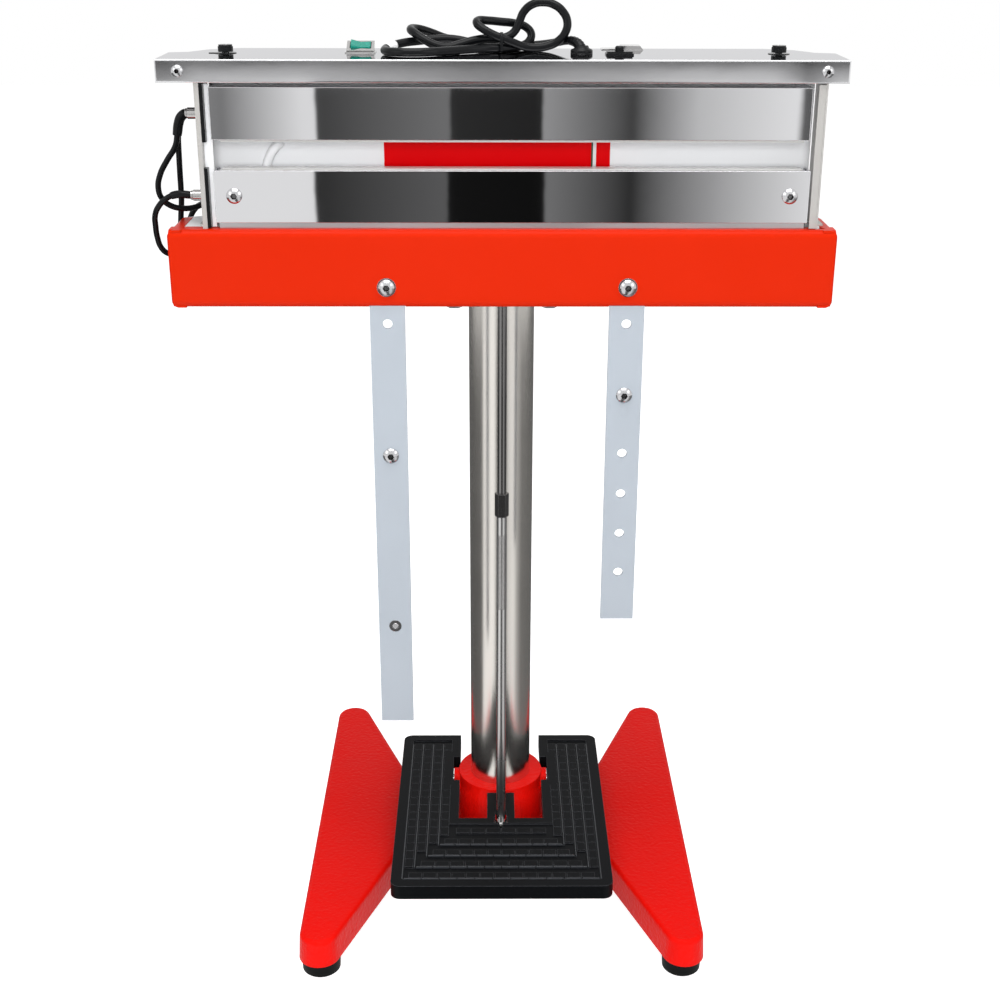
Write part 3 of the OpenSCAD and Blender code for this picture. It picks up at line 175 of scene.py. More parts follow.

# %% [markdown]
# The mains cord leaves a grommet in the top panel, is folded into a hank that a tie holds, and
# goes over the rear edge to its plug. A hank by simulation would fall differently from the
# photograph, so its route is listed point by point: each run through the tie has its own place, and
# where the cord crosses itself it passes over in a low hump, a cord's thickness away.

# %% Mains cord
MAINS_D = 7.0
mains_route = [
    (66, -42, 813.2), (65.6, -41.6, 817.5), (63.4, -38.6, 821.4), (59, -32.5, 823.4),
    (53.4, -25, 823), (47, -17.5, 821.2), (39, -12.5, 819.4), (28, -11.6, 818.2),
    (14, -15.2, 817.8), (-0.8, -19, 817.7), (-14, -18.2, 818.3), (-28, -16.5, 821),
    (-42, -16, 823.4), (-56, -18.5, 823.6), (-70, -24, 822.6), (-82, -31.5, 821.8),
    (-92, -41, 820), (-97.5, -52, 818), (-95, -63, 817.6), (-86, -70.5, 817.6),
    (-74, -73, 817.6), (-61, -69, 817.6), (-48, -60.5, 817.6), (-36, -51, 817.6),
    (-24, -42.5, 817.7), (-12, -36.5, 817.8), (-0.8, -34, 817.7), (8, -29.5, 817.8),
    (16, -24, 818.6), (22.6, -18.6, 822), (24.5, -14, 827.4), (20.5, -11, 832.6),
    (11, -11.4, 835.8), (-1, -14.4, 837.4), (-12, -18, 838.6), (-20.4, -23.5, 839),
    (-21.4, -30, 837), (-16, -35, 833), (-8, -36.4, 828.8), (0.8, -36.4, 825.4),
    (9, -35.6, 822.2), (18, -33.6, 818.9), (28, -32, 817.9), (38, -31.2, 819.2),
    (47, -31, 823.4), (53, -30, 830.6), (54.3, -28.2, 838.6), (50.6, -26.4, 846.4),
    (43, -24.8, 852), (34, -23.8, 853.8), (25, -23.2, 852), (18, -22.8, 846.2),
    (14.4, -23, 838.6), (11, -24.2, 831.4), (5, -26, 826.6), (-3.5, -27.4, 825.2),
    (-13, -28.4, 825), (-24, -30.4, 823.6), (-35, -33.6, 820.8), (-46, -37, 818.6),
    (-56.5, -38.4, 820.4), (-66, -36.6, 825), (-73.6, -31, 829.4), (-77.4, -23, 831.6),
    (-75, -14.5, 832), (-68, -9, 830.4), (-59.5, -5.5, 827.4), (-51, -3.4, 824),
    (-44, 0.6, 821.8), (-40.6, 6.4, 820), (-40, 11.4, 815), (-40, 13, 807),
    (-40, 12.8, 796), (-40, 12.5, 781)]
mains_line = smooth_line(mains_route)
mains_cord = lay_cord("mains_cord_run", mains_route, MAINS_D)
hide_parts("mains_cord", "mains_hank", "mains_tail")

grommet_line = cut_line(mains_line, 0.5, 21.5)
grommet_relief = mesh_piece("mains_relief", lambda work: tube_along(
    work, grommet_line, [4.9 - 1.2 * k / (len(grommet_line) - 1)
                         + 0.2 * math.cos(k * 2.1) for k in range(len(grommet_line))]), "frame")

# The tie is a flat strap pulled round the runs.
tie_outline = [(-40.2, 816.2), (-40.6, 822), (-39.8, 828.2), (-35, 830.4), (-28, 829.6),
               (-22, 826), (-16, 822.8), (-14.6, 818.4), (-16.5, 814.6), (-26, 814.35),
               (-37, 814.35)]
tie_loop = smooth_line([(-0.8, y, z) for y, z in tie_outline + tie_outline[:1]], 6)[:-1]


def build_tie(work):
    rows = []
    for i, point in enumerate(tie_loop):
        ahead = (tie_loop[(i + 1) % len(tie_loop)] - tie_loop[i - 1]).normalized()
        out = ahead.cross(Vector((1, 0, 0)))
        rows.append([work.verts.new((point + Vector((x, 0, 0)) + out * h) * MM)
                     for x, h in ((-1.3, 0), (-1.3, 0.7), (-0.9, 1), (0.9, 1), (1.3, 0.7),
                                  (1.3, 0))])
    for low, high in zip(rows, rows[1:] + rows[:1]):
        for k in range(6):
            work.faces.new((low[k], low[(k + 1) % 6], high[(k + 1) % 6], high[k]))


hank_tie = mesh_piece("hank_tie", build_tie, "frame")
print("mains cord", round(line_length(mains_line)), "mm")

# %% [markdown]
# Three black leads feed the heating wires. Two leave the upper gland in one sleeve, the third
# leaves the lower one, and all three loop down and go back into the side of the machine, with
# slack for the stroke of the jaw. Their routes are those of the CAD model's tubes.

# %% Leads of the heating wires
LEAD_D = 5.0
lead_routes = {
    "upper_lead_loop": [
        (-257, -72, 768.9), (-262, -72, 768.9), (-266.5, -72, 765.5), (-269, -71.5, 759.5),
        (-270.5, -71, 752), (-273, -70, 742), (-281, -69, 730), (-288, -68, 718),
        (-291, -66, 706), (-289, -63, 696.5), (-283, -59, 690), (-274, -55, 687),
        (-264, -49, 687), (-255, -43.5, 690), (-249, -42, 692), (-245, -42, 692)],
    "upper_lead_down": [
        (-270.8, -65.4, 753), (-271.5, -64.6, 744), (-272.5, -61, 731), (-274, -55, 715),
        (-275, -50.5, 704), (-276.5, -45, 691), (-279, -39.5, 678), (-280, -38.5, 668),
        (-280.5, -37, 660), (-280, -32, 653), (-279.5, -25.5, 651.3), (-278.5, -19.8, 655),
        (-277.5, -17.5, 663), (-275, -18.5, 672), (-270, -22, 680), (-262, -28, 686),
        (-254, -32.5, 688), (-249, -33, 688), (-245, -33, 688)],
    "lower_lead": [
        (-257, -72, 701.35), (-262, -72, 701.35), (-271, -71.5, 702), (-278, -70.5, 701),
        (-285, -70, 697.5), (-292, -67.5, 690.5), (-296.5, -62, 682), (-298, -56.5, 672.5),
        (-298.5, -51, 661.5), (-297, -45.5, 651), (-293, -40.5, 645),
        (-286.5, -36, 642.5), (-278, -31.5, 642), (-266, -26, 643.5), (-254, -20.5, 645.5),
        (-249, -19, 646), (-247, -19, 646)]}
leads, lead_lines = {}, {}
for name, route in lead_routes.items():
    lead_lines[name] = smooth_line(route)
    leads[name] = lay_cord(name + "_run", route, LEAD_D)
    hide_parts(name)


def sleeve(name, line, radius, flare=0.3):
    """A shrunk sleeve: even along its length, pulled in a little at both mouths."""
    last = len(line) - 1
    piece = mesh_piece(name, lambda work: tube_along(
        work, line, [radius - flare * (abs(2 * k / last - 1) ** 6) for k in range(last + 1)]),
        "frame")
    return piece


upper_sleeve = sleeve("upper_lead_sleeve", cut_line(lead_lines["upper_lead_loop"], 5, 27), 4.1)
lower_sleeve = sleeve("lower_lead_sleeve", cut_line(lead_lines["lower_lead"], 5, 24), 3.3)
for name, line in lead_lines.items():
    print(name, round(line_length(line)), "mm")

# %% [markdown]
# The machine is painted, polished and plated steel, so its finishes differ mostly in how they
# reflect. Each finish is one material: a Principled shader whose roughness and small bumps come
# from noise in the object's own millimetres, with edges softened by a Bevel node.

# %% A helper for finishes
def srgb(red, green, blue):
    """A colour as it is read off a screen, turned into the linear values that shaders use."""
    def linear(value):
        value /= 255
        return value / 12.92 if value <= 0.04045 else ((value + 0.055) / 1.055) ** 2.4
    return (linear(red), linear(green), linear(blue), 1.0)


def mix_colours(tree, factor, first, second):
    """The first colour socket, turned into the second colour by a factor socket."""
    mix = tree.nodes.new("ShaderNodeMix")
    mix.data_type = "RGBA"
    tree.links.new(factor, mix.inputs["Factor"])
    tree.links.new(first, mix.inputs["A"])
    mix.inputs["B"].default_value = second
    return mix.outputs["Result"]


def finish(name, colour, rough, metal=0.0, grain=800.0, bump=0.05, spread=0.06, edge=0.5,
           stretch=(1, 1, 1), shade=0.06, detail=3.0, shine=0.5, edge_wear_and_highlight=None, recess_shade_reach=0.0):
    """grain is bumps per metre, bump their height in mm, spread how far roughness wanders, edge
    the radius of a softened edge in mm and shade how far the colour wanders. shine is how far
    the refraction of a paint or plastic goes above 1, and so how much it mirrors. worn is the
    colour that edges are tinted to, a painted highlight that is partly wear. cavity is the reach
    in mm within which a recess is darkened, a painted shade."""
    material = bpy.data.materials.new(name)
    material.use_nodes = True
    tree = material.node_tree
    shader = tree.nodes["Principled BSDF"]
    shader.inputs["Metallic"].default_value = metal
    shader.inputs["IOR"].default_value = 1.0 + shine
    place = tree.nodes.new("ShaderNodeTexCoord")
    scale = tree.nodes.new("ShaderNodeMapping")
    scale.inputs["Scale"].default_value = stretch
    tree.links.new(place.outputs["Object"], scale.inputs["Vector"])

    fine = tree.nodes.new("ShaderNodeTexNoise")
    fine.inputs["Scale"].default_value = grain
    fine.inputs["Detail"].default_value = detail
    tree.links.new(scale.outputs["Vector"], fine.inputs["Vector"])
    broad = tree.nodes.new("ShaderNodeTexNoise")
    broad.inputs["Scale"].default_value = 14.0
    broad.inputs["Detail"].default_value = 4.0
    tree.links.new(place.outputs["Object"], broad.inputs["Vector"])

    wander = tree.nodes.new("ShaderNodeMapRange")
    wander.inputs["From Min"].default_value, wander.inputs["From Max"].default_value = 0.3, 0.7
    wander.inputs["To Min"].default_value = max(rough - spread, 0.02)
    wander.inputs["To Max"].default_value = rough + spread
    tree.links.new(broad.outputs["Fac"], wander.inputs["Value"])
    tree.links.new(wander.outputs["Result"], shader.inputs["Roughness"])

    tint = tree.nodes.new("ShaderNodeMix")
    tint.data_type = "RGBA"
    tint.inputs["A"].default_value = [c * (1 - shade) for c in colour[:3]] + [1]
    tint.inputs["B"].default_value = [min(c * (1 + shade), 1) for c in colour[:3]] + [1]
    tree.links.new(broad.outputs["Fac"], tint.inputs["Factor"])
    skin = tint.outputs["Result"]

    soft = tree.nodes.new("ShaderNodeBevel")
    soft.samples = 12
    soft.inputs["Radius"].default_value = edge * MM
    # Edges are tinted towards the given colour: a painted highlight, partly wear.
    if edge_wear_and_highlight:
        flat = tree.nodes.new("ShaderNodeNewGeometry")
        turn = tree.nodes.new("ShaderNodeVectorMath")
        turn.operation = "DOT_PRODUCT"
        tree.links.new(soft.outputs["Normal"], turn.inputs[0])
        tree.links.new(flat.outputs["Normal"], turn.inputs[1])
        wear_and_highlight_mask = tree.nodes.new("ShaderNodeMapRange")
        wear_and_highlight_mask.inputs["From Min"].default_value = 0.995
        wear_and_highlight_mask.inputs["From Max"].default_value = 0.90
        tree.links.new(turn.outputs["Value"], wear_and_highlight_mask.inputs["Value"])
        skin = mix_colours(tree, wear_and_highlight_mask.outputs["Result"], skin, edge_wear_and_highlight)
    # Recesses within the reach are darkened towards near black: painted shade.
    if recess_shade_reach:
        open_sky = tree.nodes.new("ShaderNodeAmbientOcclusion")
        open_sky.samples = 6
        open_sky.only_local = True
        open_sky.inputs["Distance"].default_value = recess_shade_reach * MM
        painted_recess_shade = tree.nodes.new("ShaderNodeMapRange")
        painted_recess_shade.inputs["From Min"].default_value = 0.92
        painted_recess_shade.inputs["From Max"].default_value = 0.50
        tree.links.new(open_sky.outputs["AO"], painted_recess_shade.inputs["Value"])
        skin = mix_colours(tree, painted_recess_shade.outputs["Result"], skin, srgb(24, 23, 23))
    tree.links.new(skin, shader.inputs["Base Color"])
    dents = tree.nodes.new("ShaderNodeBump")
    dents.inputs["Strength"].default_value = 1.0
    dents.inputs["Distance"].default_value = bump * MM
    tree.links.new(fine.outputs["Fac"], dents.inputs["Height"])
    tree.links.new(soft.outputs["Normal"], dents.inputs["Normal"])
    tree.links.new(dents.outputs["Normal"], shader.inputs["Normal"])
    return material


def coat_with(material, *names):
    for name in names:
        for place in nodes[name].material_slots:
            place.material = material


print("finish helper ready")

# %% [markdown]
# The base is a sand casting under thick red enamel: the sand leaves rounded grains that show
# on every curve. The pedal is a casting in satin black whose edges are tinted grey, partly wear
# from shoes and partly a painted highlight.
# The tray is bent sheet with an even orange powder coat, nearly smooth. One noise for all would
# make them look like one paint, so each has its own grain and height of bump.

# %% Paints
red_enamel = finish("red_enamel", srgb(240, 17, 8), 0.34, grain=260, bump=0.7, edge=1.0,
                    shade=0.05, detail=2, shine=0.16)
orange_powder = finish("orange_powder", srgb(213, 39, 6), 0.36, grain=900, bump=0.02,
                       edge=1.2, shade=0.02, shine=0.16)
# The pedal's edges are tinted grey: a painted highlight, partly wear.
black_cast = finish("black_cast", srgb(15, 16, 18), 0.34, grain=700, bump=0.07, edge=0.5,
                    shade=0.15, detail=4, shine=0.12, edge_wear_and_highlight=srgb(84, 85, 89))
# The ridges of the tread are a lighter grey than the casting: a painted highlight on their tops.
tread_highlight = finish("tread_highlight", srgb(52, 54, 58), 0.3, grain=700, bump=0.05, edge=0.3,
                    shade=0.3, shine=0.4)
coat_with(red_enamel, "base_casting")
coat_with(orange_powder, "tray")
coat_with(black_cast, "pedal")
print("paints: enamel, powder, black casting")

# %% [markdown]
# The covers and the top panel are polished stainless sheet: nearly a mirror, but the sheet is
# never quite flat, so its reflections bend in slow waves. The column is a drawn tube with fine
# lines along it. Screws and nuts are bright zinc, and they and the chrome trim have painted shade
# in their recesses; the upper rod is darker than the lower one, and the side plates are dull
# steel. Noise that is stretched along an object's own axis makes the lines of drawing and rolling
# without any picture.

# %% Metals
polished_sheet = finish("polished_sheet", srgb(228, 228, 230), 0.018, metal=1.0, grain=9,
                        bump=0.05, spread=0.01, edge=0.6, shade=0.01, stretch=(1, 1, 1.6))
drawn_tube = finish("drawn_tube", srgb(222, 218, 212), 0.22, metal=1.0, grain=2600, bump=0.01,
                    spread=0.03, edge=0.3, stretch=(1, 1, 0.01), shade=0.03)
dark_rod = finish("dark_rod", srgb(120, 119, 118), 0.2, metal=1.0, grain=1800, bump=0.02,
                  spread=0.05, edge=0.3, stretch=(1, 1, 0.02), shade=0.06)
pull_steel = finish("pull_steel", srgb(196, 195, 194), 0.26, metal=1.0, grain=1500, bump=0.01,
                    spread=0.04, shade=0.04, stretch=(1, 1, 0.02))
panel_sheet = finish("panel_sheet", srgb(225, 225, 227), 0.05, metal=1.0, grain=9,
                     bump=0.06, spread=0.01, edge=1.6, shade=0.01, stretch=(1, 1, 1.6))
for sheet in (polished_sheet, panel_sheet):
    sheet.node_tree.nodes["Principled BSDF"].inputs["Specular Tint"].default_value = (
        0.72, 0.72, 0.73, 1)
# Chrome trim and zinc are darkened in their recesses: painted shade.
chrome_trim = finish("chrome_trim", srgb(186, 185, 184), 0.14, metal=1.0, grain=900, bump=0.01,
                     spread=0.03, edge=0.15, shade=0.03, recess_shade_reach=1.5)
bright_zinc = finish("bright_zinc", srgb(196, 196, 198), 0.18, metal=1.0, grain=1500,
                     bump=0.02, spread=0.06, edge=0.35, shade=0.06, recess_shade_reach=3.5)
dull_plate = finish("dull_plate", srgb(184, 182, 179), 0.42, metal=0.2, grain=700, bump=0.03,
                    spread=0.06, edge=0.4, stretch=(1, 1, 0.06), shade=0.04, shine=0.3)
galvanised_bar = finish("galvanised_bar", srgb(182, 190, 199), 0.42, metal=0.1, grain=600,
                        bump=0.02, edge=0.4, stretch=(1, 1, 0.05), shade=0.03, shine=0.3)
milled_aluminium = finish("milled_aluminium", srgb(205, 206, 208), 0.36, metal=1.0, grain=900,
                          bump=0.02, edge=0.5, stretch=(0.04, 1, 1), shade=0.04)
yellow_brass = finish("yellow_brass", srgb(205, 170, 92), 0.28, metal=1.0, grain=1200,
                      bump=0.02, edge=0.4)
core_laminations = finish("core_laminations", srgb(70, 72, 76), 0.45, metal=0.6, grain=1200,
                          bump=0.12, edge=0.6, stretch=(1, 0.02, 0.02))
coat_with(polished_sheet, "lower_cover", "upper_cover")
coat_with(panel_sheet, "top_panel")
coat_with(chrome_trim, "panel_rear_tab", "lit_bezel", "cord_glands")
coat_with(drawn_tube, "column_tube")
coat_with(bright_zinc, "foot_studs", "collar_set_screws", "column_flange", "flange_bolts",
          "pivot_pins", "rod_nuts", "tray_screws", "tray_nuts", "bar_screws", "bar_insert",
          "panel_screws", "lower_cover_screws", "guide_posts", "return_springs",
          "potentiometers")
coat_with(dark_rod, "upper_rod", "ball_nut", "rod_coupler")
coat_with(pull_steel, "lower_rod")
coat_with(dull_plate, "left_side_plate", "right_side_plate")
coat_with(galvanised_bar, "left_bar", "right_bar", "bar_plug")
coat_with(milled_aluminium, "lower_jaw", "upper_jaw", "crossbeam")
coat_with(yellow_brass, "guide_bushes")
coat_with(core_laminations, "transformer")
print("metals: sheet, tube, zinc, plate, bar, aluminium, brass, laminations")

# %% [markdown]
# Rubber and plastic are dark and scatter light at their surface. Feet are plain black rubber,
# leads are softer and a little shinier, knobs are moulded with a light gloss. The lit rocker is
# clear green plastic over a lamp, so light goes into it and comes back coloured.

# %% Plastics, rubbers and sheets
foot_rubber = finish("foot_rubber", srgb(20, 22, 22), 0.5, grain=1500, bump=0.04, edge=0.6,
                     shade=0.2, shine=0.15)
lead_rubber = finish("lead_rubber", srgb(11, 12, 14), 0.26, grain=2200, bump=0.01, edge=0.2,
                     shade=0.15, shine=0.26)
moulded_black = finish("moulded_black", srgb(13, 14, 16), 0.26, grain=1800, bump=0.01,
                       edge=0.35, shade=0.15, shine=0.26)
clear_green = finish("clear_green", srgb(16, 140, 122), 0.14, grain=400, bump=0.01, edge=0.4,
                     shade=0.10)
green_shader = clear_green.node_tree.nodes["Principled BSDF"]
green_shader.inputs["Subsurface Weight"].default_value = 0.3
green_shader.inputs["Subsurface Radius"].default_value = (0.001, 0.004, 0.004)
white_lacquer = finish("white_lacquer", srgb(249, 250, 252), 0.38, grain=1000, bump=0.02,
                       edge=0.5, shade=0.01, shine=0.3)
glazed_tape = finish("glazed_tape", srgb(206, 205, 203), 0.2, grain=1300, bump=0.02, edge=0.2,
                     shade=0.03)
board_green = finish("board_green", srgb(22, 84, 48), 0.35, grain=500, bump=0.03, edge=0.2,
                     shade=0.25)
coat_with(foot_rubber, "foot_pads")
coat_with(moulded_black, "side_insulators", "left_knob", "right_knob", "breaker_bezel",
          "reset_button", "mains_plug")
coat_with(clear_green, "lit_rocker")
coat_with(white_lacquer, "chassis", "deck", "housing", "carrier_plate")
coat_with(glazed_tape, "lower_seal_strip", "upper_seal_strip")
coat_with(board_green, "control_board")
for cord in [mains_cord, grommet_relief, upper_sleeve, lower_sleeve, *leads.values()]:
    cord.data.materials.append(lead_rubber)
hank_tie.data.materials.append(moulded_black)
print("plastics, rubbers and sheets done")

# %% [markdown]
# The red sticker on the plate behind the jaws is a thin foil with a green and a white line near
# its end. It could be painted on by a material, but then it would be missing in an exported
# mesh, so each colour is a foil of its own, a sixth of a millimetre thick.

# %% Sticker
def thin_box(name, low, high, body, radius=0.05):
    """A flat piece between two corners in mm, with its edges rounded by a bevel."""
    def build(work):
        bmesh.ops.create_cube(work, size=1.0)
        size = [b - a for a, b in zip(low, high)]
        for vert in work.verts:
            vert.co = at(*[a + s * (c + 0.5) for a, s, c in zip(low, size, vert.co)])
        bmesh.ops.bevel(work, geom=list(work.edges), offset=radius * MM, segments=2,
                        affect="EDGES", profile=0.6)
    return mesh_piece(name, build, body, smooth=False)


sticker_red = finish("sticker_red", srgb(230, 1, 8), 0.35, grain=600, bump=0.005, shade=0.01,
                     shine=0.2)
line_green = finish("line_green", srgb(38, 70, 52), 0.35, grain=600, bump=0.01)
line_white = finish("line_white", srgb(240, 240, 240), 0.35, grain=600, bump=0.01, shade=0.01)
PLATE_FRONT, FOIL, STICKER_LOW, STICKER_HIGH = -58.0, 0.16, 722.5, 748.0
sticker_parts = [("sticker_field", -100.0, 75.0, sticker_red),
                 ("sticker_green_line", 75.0, 76.4, line_green),
                 ("sticker_white_line", 76.4, 79.2, line_white),
                 ("sticker_end", 79.2, 91.0, sticker_red)]
for name, left, right, colour in sticker_parts:
    part = thin_box(name, (left, PLATE_FRONT - FOIL, STICKER_LOW),
                    (right, PLATE_FRONT, STICKER_HIGH), "carriage")
    part.data.materials.append(colour)
print("sticker parts", len(sticker_parts))

# %% [markdown]
# A small white tube comes up from behind the lower cover and bends into the plate. A cylinder
# can't bend, so tube_along() carries a ring along a smooth line through seven points.

# %% White tube on the plate
TUBE_R = 3.9
tube_line = smooth_line([(-202.5, -62.6, 706), (-201.0, -62.6, 716), (-198.4, -62.6, 726),
                         (-195.0, -62.6, 734), (-191.4, -62.2, 739.2), (-188.4, -60.8, 741.8),
                         (-187.0, -58.4, 742.4)])
white_tube = mesh_piece("white_tube", lambda work: tube_along(
    work, tube_line, [TUBE_R] * len(tube_line)), "carriage")
white_tube.data.materials.append(white_lacquer)
print("white tube", round(line_length(tube_line)), "mm")

# %% [markdown]
# Two springs on the guide posts push the crossbeam up again when the foot leaves the pedal. A
# rigid spring would go down through the floor of the tray with the beam. So the coils ride on
# the frame.

# %% Coils of the return springs
SPRING_FOOT, SPRING_TOP, SPRING_TURNS = 615.3, 657.6, 6
SPRING_WIRE, SPRING_RADIUS, SPRING_STROKE = 2.2, 8.9, 21.0
POST_X, POST_Y, STEPS_A_TURN = 170.0, -75.7, 24


def build_coils(work):
    rise = SPRING_TOP - SPRING_FOOT - SPRING_WIRE
    steps = SPRING_TURNS * STEPS_A_TURN
    for x in (-POST_X, POST_X):
        line = []
        for k in range(steps + 1):
            share = k / steps
            angle = math.tau * SPRING_TURNS * share
            line.append(Vector((x + SPRING_RADIUS * math.cos(angle),
                                POST_Y + SPRING_RADIUS * math.sin(angle),
                                SPRING_FOOT + SPRING_WIRE / 2 + rise * share)))
        tube_along(work, line, [SPRING_WIRE / 2] * len(line), sides=10)


spring_coils = mesh_piece("spring_coils", build_coils, "frame")
spring_coils.data.materials.append(bright_zinc)
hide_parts("return_springs")
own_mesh(spring_coils)
print("spring coils", len(spring_coils.data.polygons), "faces")

# %% [markdown]
# The side plates end in narrow strips that catch the light: the right one has a folded flange
# that faces forward, and a white strip fills the gap inside the left one. Both are flat sheet,
# so a box with slightly rounded edges is all they need.

# %% Front flange of the right side plate, white strip inside the left one
right_flange = thin_box("right_plate_flange", (256.6, -93.0, 677.5), (262.45, -92.2, 794.5),
                        "frame", 0.15)
right_flange.data.materials.append(dull_plate)
end_strip = thin_box("left_end_strip", (-246.4, -85.3, 677.5), (-239.9, -84.5, 794.0), "frame",
                     0.15)
end_strip.data.materials.append(white_lacquer)
print("right flange and left strip, 0.8 mm thick")

# %% [markdown]
# The tread of the pedal is cast with nested U-shaped ridges round the column. The CAD model has
# the blocks between them. The ridges are drawn here as narrow bars with a tapered top: long ones
# on the arms, and rows of short ones in front, which leave small gaps as the casting does. Their
# tops are a lighter grey than the casting, a painted highlight. They ride on the pedal and tip
# with it.

# %% Nested lines of the pedal's tread
TREAD_FLOOR, TREAD_TOP, LINE_W = 96.3, 98.4, 1.1
TAPER_HIGH, TAPER_IN, GAP, FIRST_BARS = 0.4, 0.35, 0.4, 8
ARM_BACK, FIRST_ROW, ROW_STEP, FIRST_ARM, ARM_STEP = 46.0, -137.2, 18.0, 59.8, 10.6


def raised_bar(work, low, high):
    """A bar from the tread's floor up, narrower at its top."""
    corners = []
    for z, inset in ((TREAD_FLOOR, 0.0), (TREAD_TOP - TAPER_HIGH, 0.0), (TREAD_TOP, TAPER_IN)):
        corners.append([work.verts.new(at(x, y, z)) for x, y in (
            (low[0] + inset, low[1] + inset), (high[0] - inset, low[1] + inset),
            (high[0] - inset, high[1] - inset), (low[0] + inset, high[1] - inset))])
    for lower, upper in zip(corners, corners[1:]):
        for k in range(4):
            work.faces.new((lower[k], lower[(k + 1) % 4], upper[(k + 1) % 4], upper[k]))
    work.faces.new(corners[0])
    work.faces.new(corners[-1])


def build_tread_lines(work):
    for i in range(4):
        arm, row = FIRST_ARM + i * ARM_STEP, FIRST_ROW - i * ROW_STEP
        for side in (-1, 1):
            raised_bar(work, (side * arm - LINE_W / 2, row - LINE_W / 2),
                       (side * arm + LINE_W / 2, ARM_BACK))
        inner = arm - LINE_W / 2 - 0.5
        bars = FIRST_BARS + i
        step = 2 * inner / bars
        for k in range(bars):
            raised_bar(work, (-inner + k * step + GAP, row - LINE_W / 2),
                       (-inner + (k + 1) * step - GAP, row + LINE_W / 2))


tread_lines = mesh_piece("tread_lines", build_tread_lines, "pedal", smooth=False)
tread_lines.data.materials.append(tread_highlight)
print("tread lines", len(tread_lines.data.polygons), "faces")

# %% [markdown]
# Each knob turns over a thin black dial on the panel, and the left one's has a short pointer
# to its left. A dial is a disc of 0.4 mm, made from its outline, with the leftmost points
# pulled out where it has a pointer. The dials carry no figures.

# %% Dials under the knobs
DIAL_R, DIAL_LOW, DIAL_HIGH, PANEL_ROW_Y = 9.0, 814.05, 814.45, -42.0


def build_dial(x, tail):
    def build(work):
        outline = [(DIAL_R * math.cos(math.radians(a)), DIAL_R * math.sin(math.radians(a)))
                   for a in range(0, 360, 10)]
        outline = [(u if u > 0.5 - DIAL_R else u - tail, v) for u, v in outline]
        low = [work.verts.new(at(x + u, PANEL_ROW_Y + v, DIAL_LOW)) for u, v in outline]
        high = [work.verts.new(at(x + u, PANEL_ROW_Y + v, DIAL_HIGH)) for u, v in outline]
        work.faces.new(low)
        work.faces.new(high)
        for k in range(len(outline)):
            work.faces.new((low[k], low[k - 1], high[k - 1], high[k]))
    return build


for name, x, tail in (("left_dial", -231.0, 5.0), ("right_dial", 231.0, 0.0)):
    dial = mesh_piece(name, build_dial(x, tail), "frame", smooth=False)
    dial.data.materials.append(moulded_black)
print("two dials")

# %% [markdown]
# Where the mains cord comes out of the panel, a flared rubber boot sits over the grommet, and
# a bare white tag is wrapped round the cord at the left of the hank. The boot is a profile
# turned about the cord's exit. The tag is a tube a tenth of a millimetre thicker than the cord.

# %% Boot over the grommet and bare tag on the cord
BOOT_X, BOOT_SIDES = 66.0, 28
TAG_START, TAG_END, TAG_OVER = 183, 196, 0.12


def build_boot(work):
    profile = [(0.0, 9.3), (2.6, 9.3), (3.6, 8.6), (4.4, 6.4), (6.5, 5.4)]
    rings = [[work.verts.new(at(BOOT_X + r * math.cos(math.tau * k / BOOT_SIDES),
                                PANEL_ROW_Y + r * math.sin(math.tau * k / BOOT_SIDES),
                                DIAL_LOW + z)) for k in range(BOOT_SIDES)] for z, r in profile]
    for low, high in zip(rings, rings[1:]):
        for k in range(BOOT_SIDES):
            after = (k + 1) % BOOT_SIDES
            work.faces.new((low[k], low[after], high[after], high[k]))
    work.faces.new(rings[0])
    work.faces.new(rings[-1])


grommet_boot = mesh_piece("grommet_boot", build_boot, "frame")
grommet_boot.data.materials.append(lead_rubber)
tag_line = cut_line(mains_line, TAG_START, TAG_END)
cord_tag = mesh_piece("cord_tag", lambda work: tube_along(
    work, tag_line, [MAINS_D / 2 + TAG_OVER] * len(tag_line)), "frame")
cord_tag.data.materials.append(line_white)
print("boot and tag")

# %% [markdown]
# The pull rod has a threaded stretch below its coupler, which sets the height of the pedal. A
# screw modifier would do, but its ends would stop short. Here the ridge is swept point by
# point round the rod and fades in and out over one turn, as a rolled thread does.

# %% Thread on the pull rod
THREAD_LOW, THREAD_HIGH, THREAD_PITCH, ROD_R, ROD_Y = 322.0, 397.0, 1.25, 4.5, -86.0


def build_thread(work):
    steps = 20
    count = int((THREAD_HIGH - THREAD_LOW) / THREAD_PITCH * steps)
    rings = []
    for i in range(count + 1):
        angle = 2 * math.pi * i / steps
        height = THREAD_LOW + THREAD_PITCH * i / steps
        fade = min(1, i / steps, (count - i) / steps)
        rings.append([work.verts.new(at((ROD_R + out * fade) * math.cos(angle),
                                        ROD_Y + (ROD_R + out * fade) * math.sin(angle),
                                        height + rise))
                      for out, rise in ((-0.15, -0.5), (0.35, -0.1), (0.35, 0.1), (-0.15, 0.5))])
    for low, high in zip(rings, rings[1:]):
        for k in range(4):
            work.faces.new((low[k], low[(k + 1) % 4], high[(k + 1) % 4], high[k]))
    work.faces.new(rings[0])
    work.faces.new(rings[-1])


rod_thread = mesh_piece("rod_thread", build_thread, "carriage", smooth=False)
rod_thread.data.materials.append(dark_rod)
print("thread turns", round((THREAD_HIGH - THREAD_LOW) / THREAD_PITCH))

# %% [markdown]
# The studio is plain: a white floor and a white surround. Both look white to the camera and in
# polished metal, but give the object much less light than that, so that its pale parts don't
# wash out. A Light Path node tells the two uses apart. The floor keeps the object's shadow.

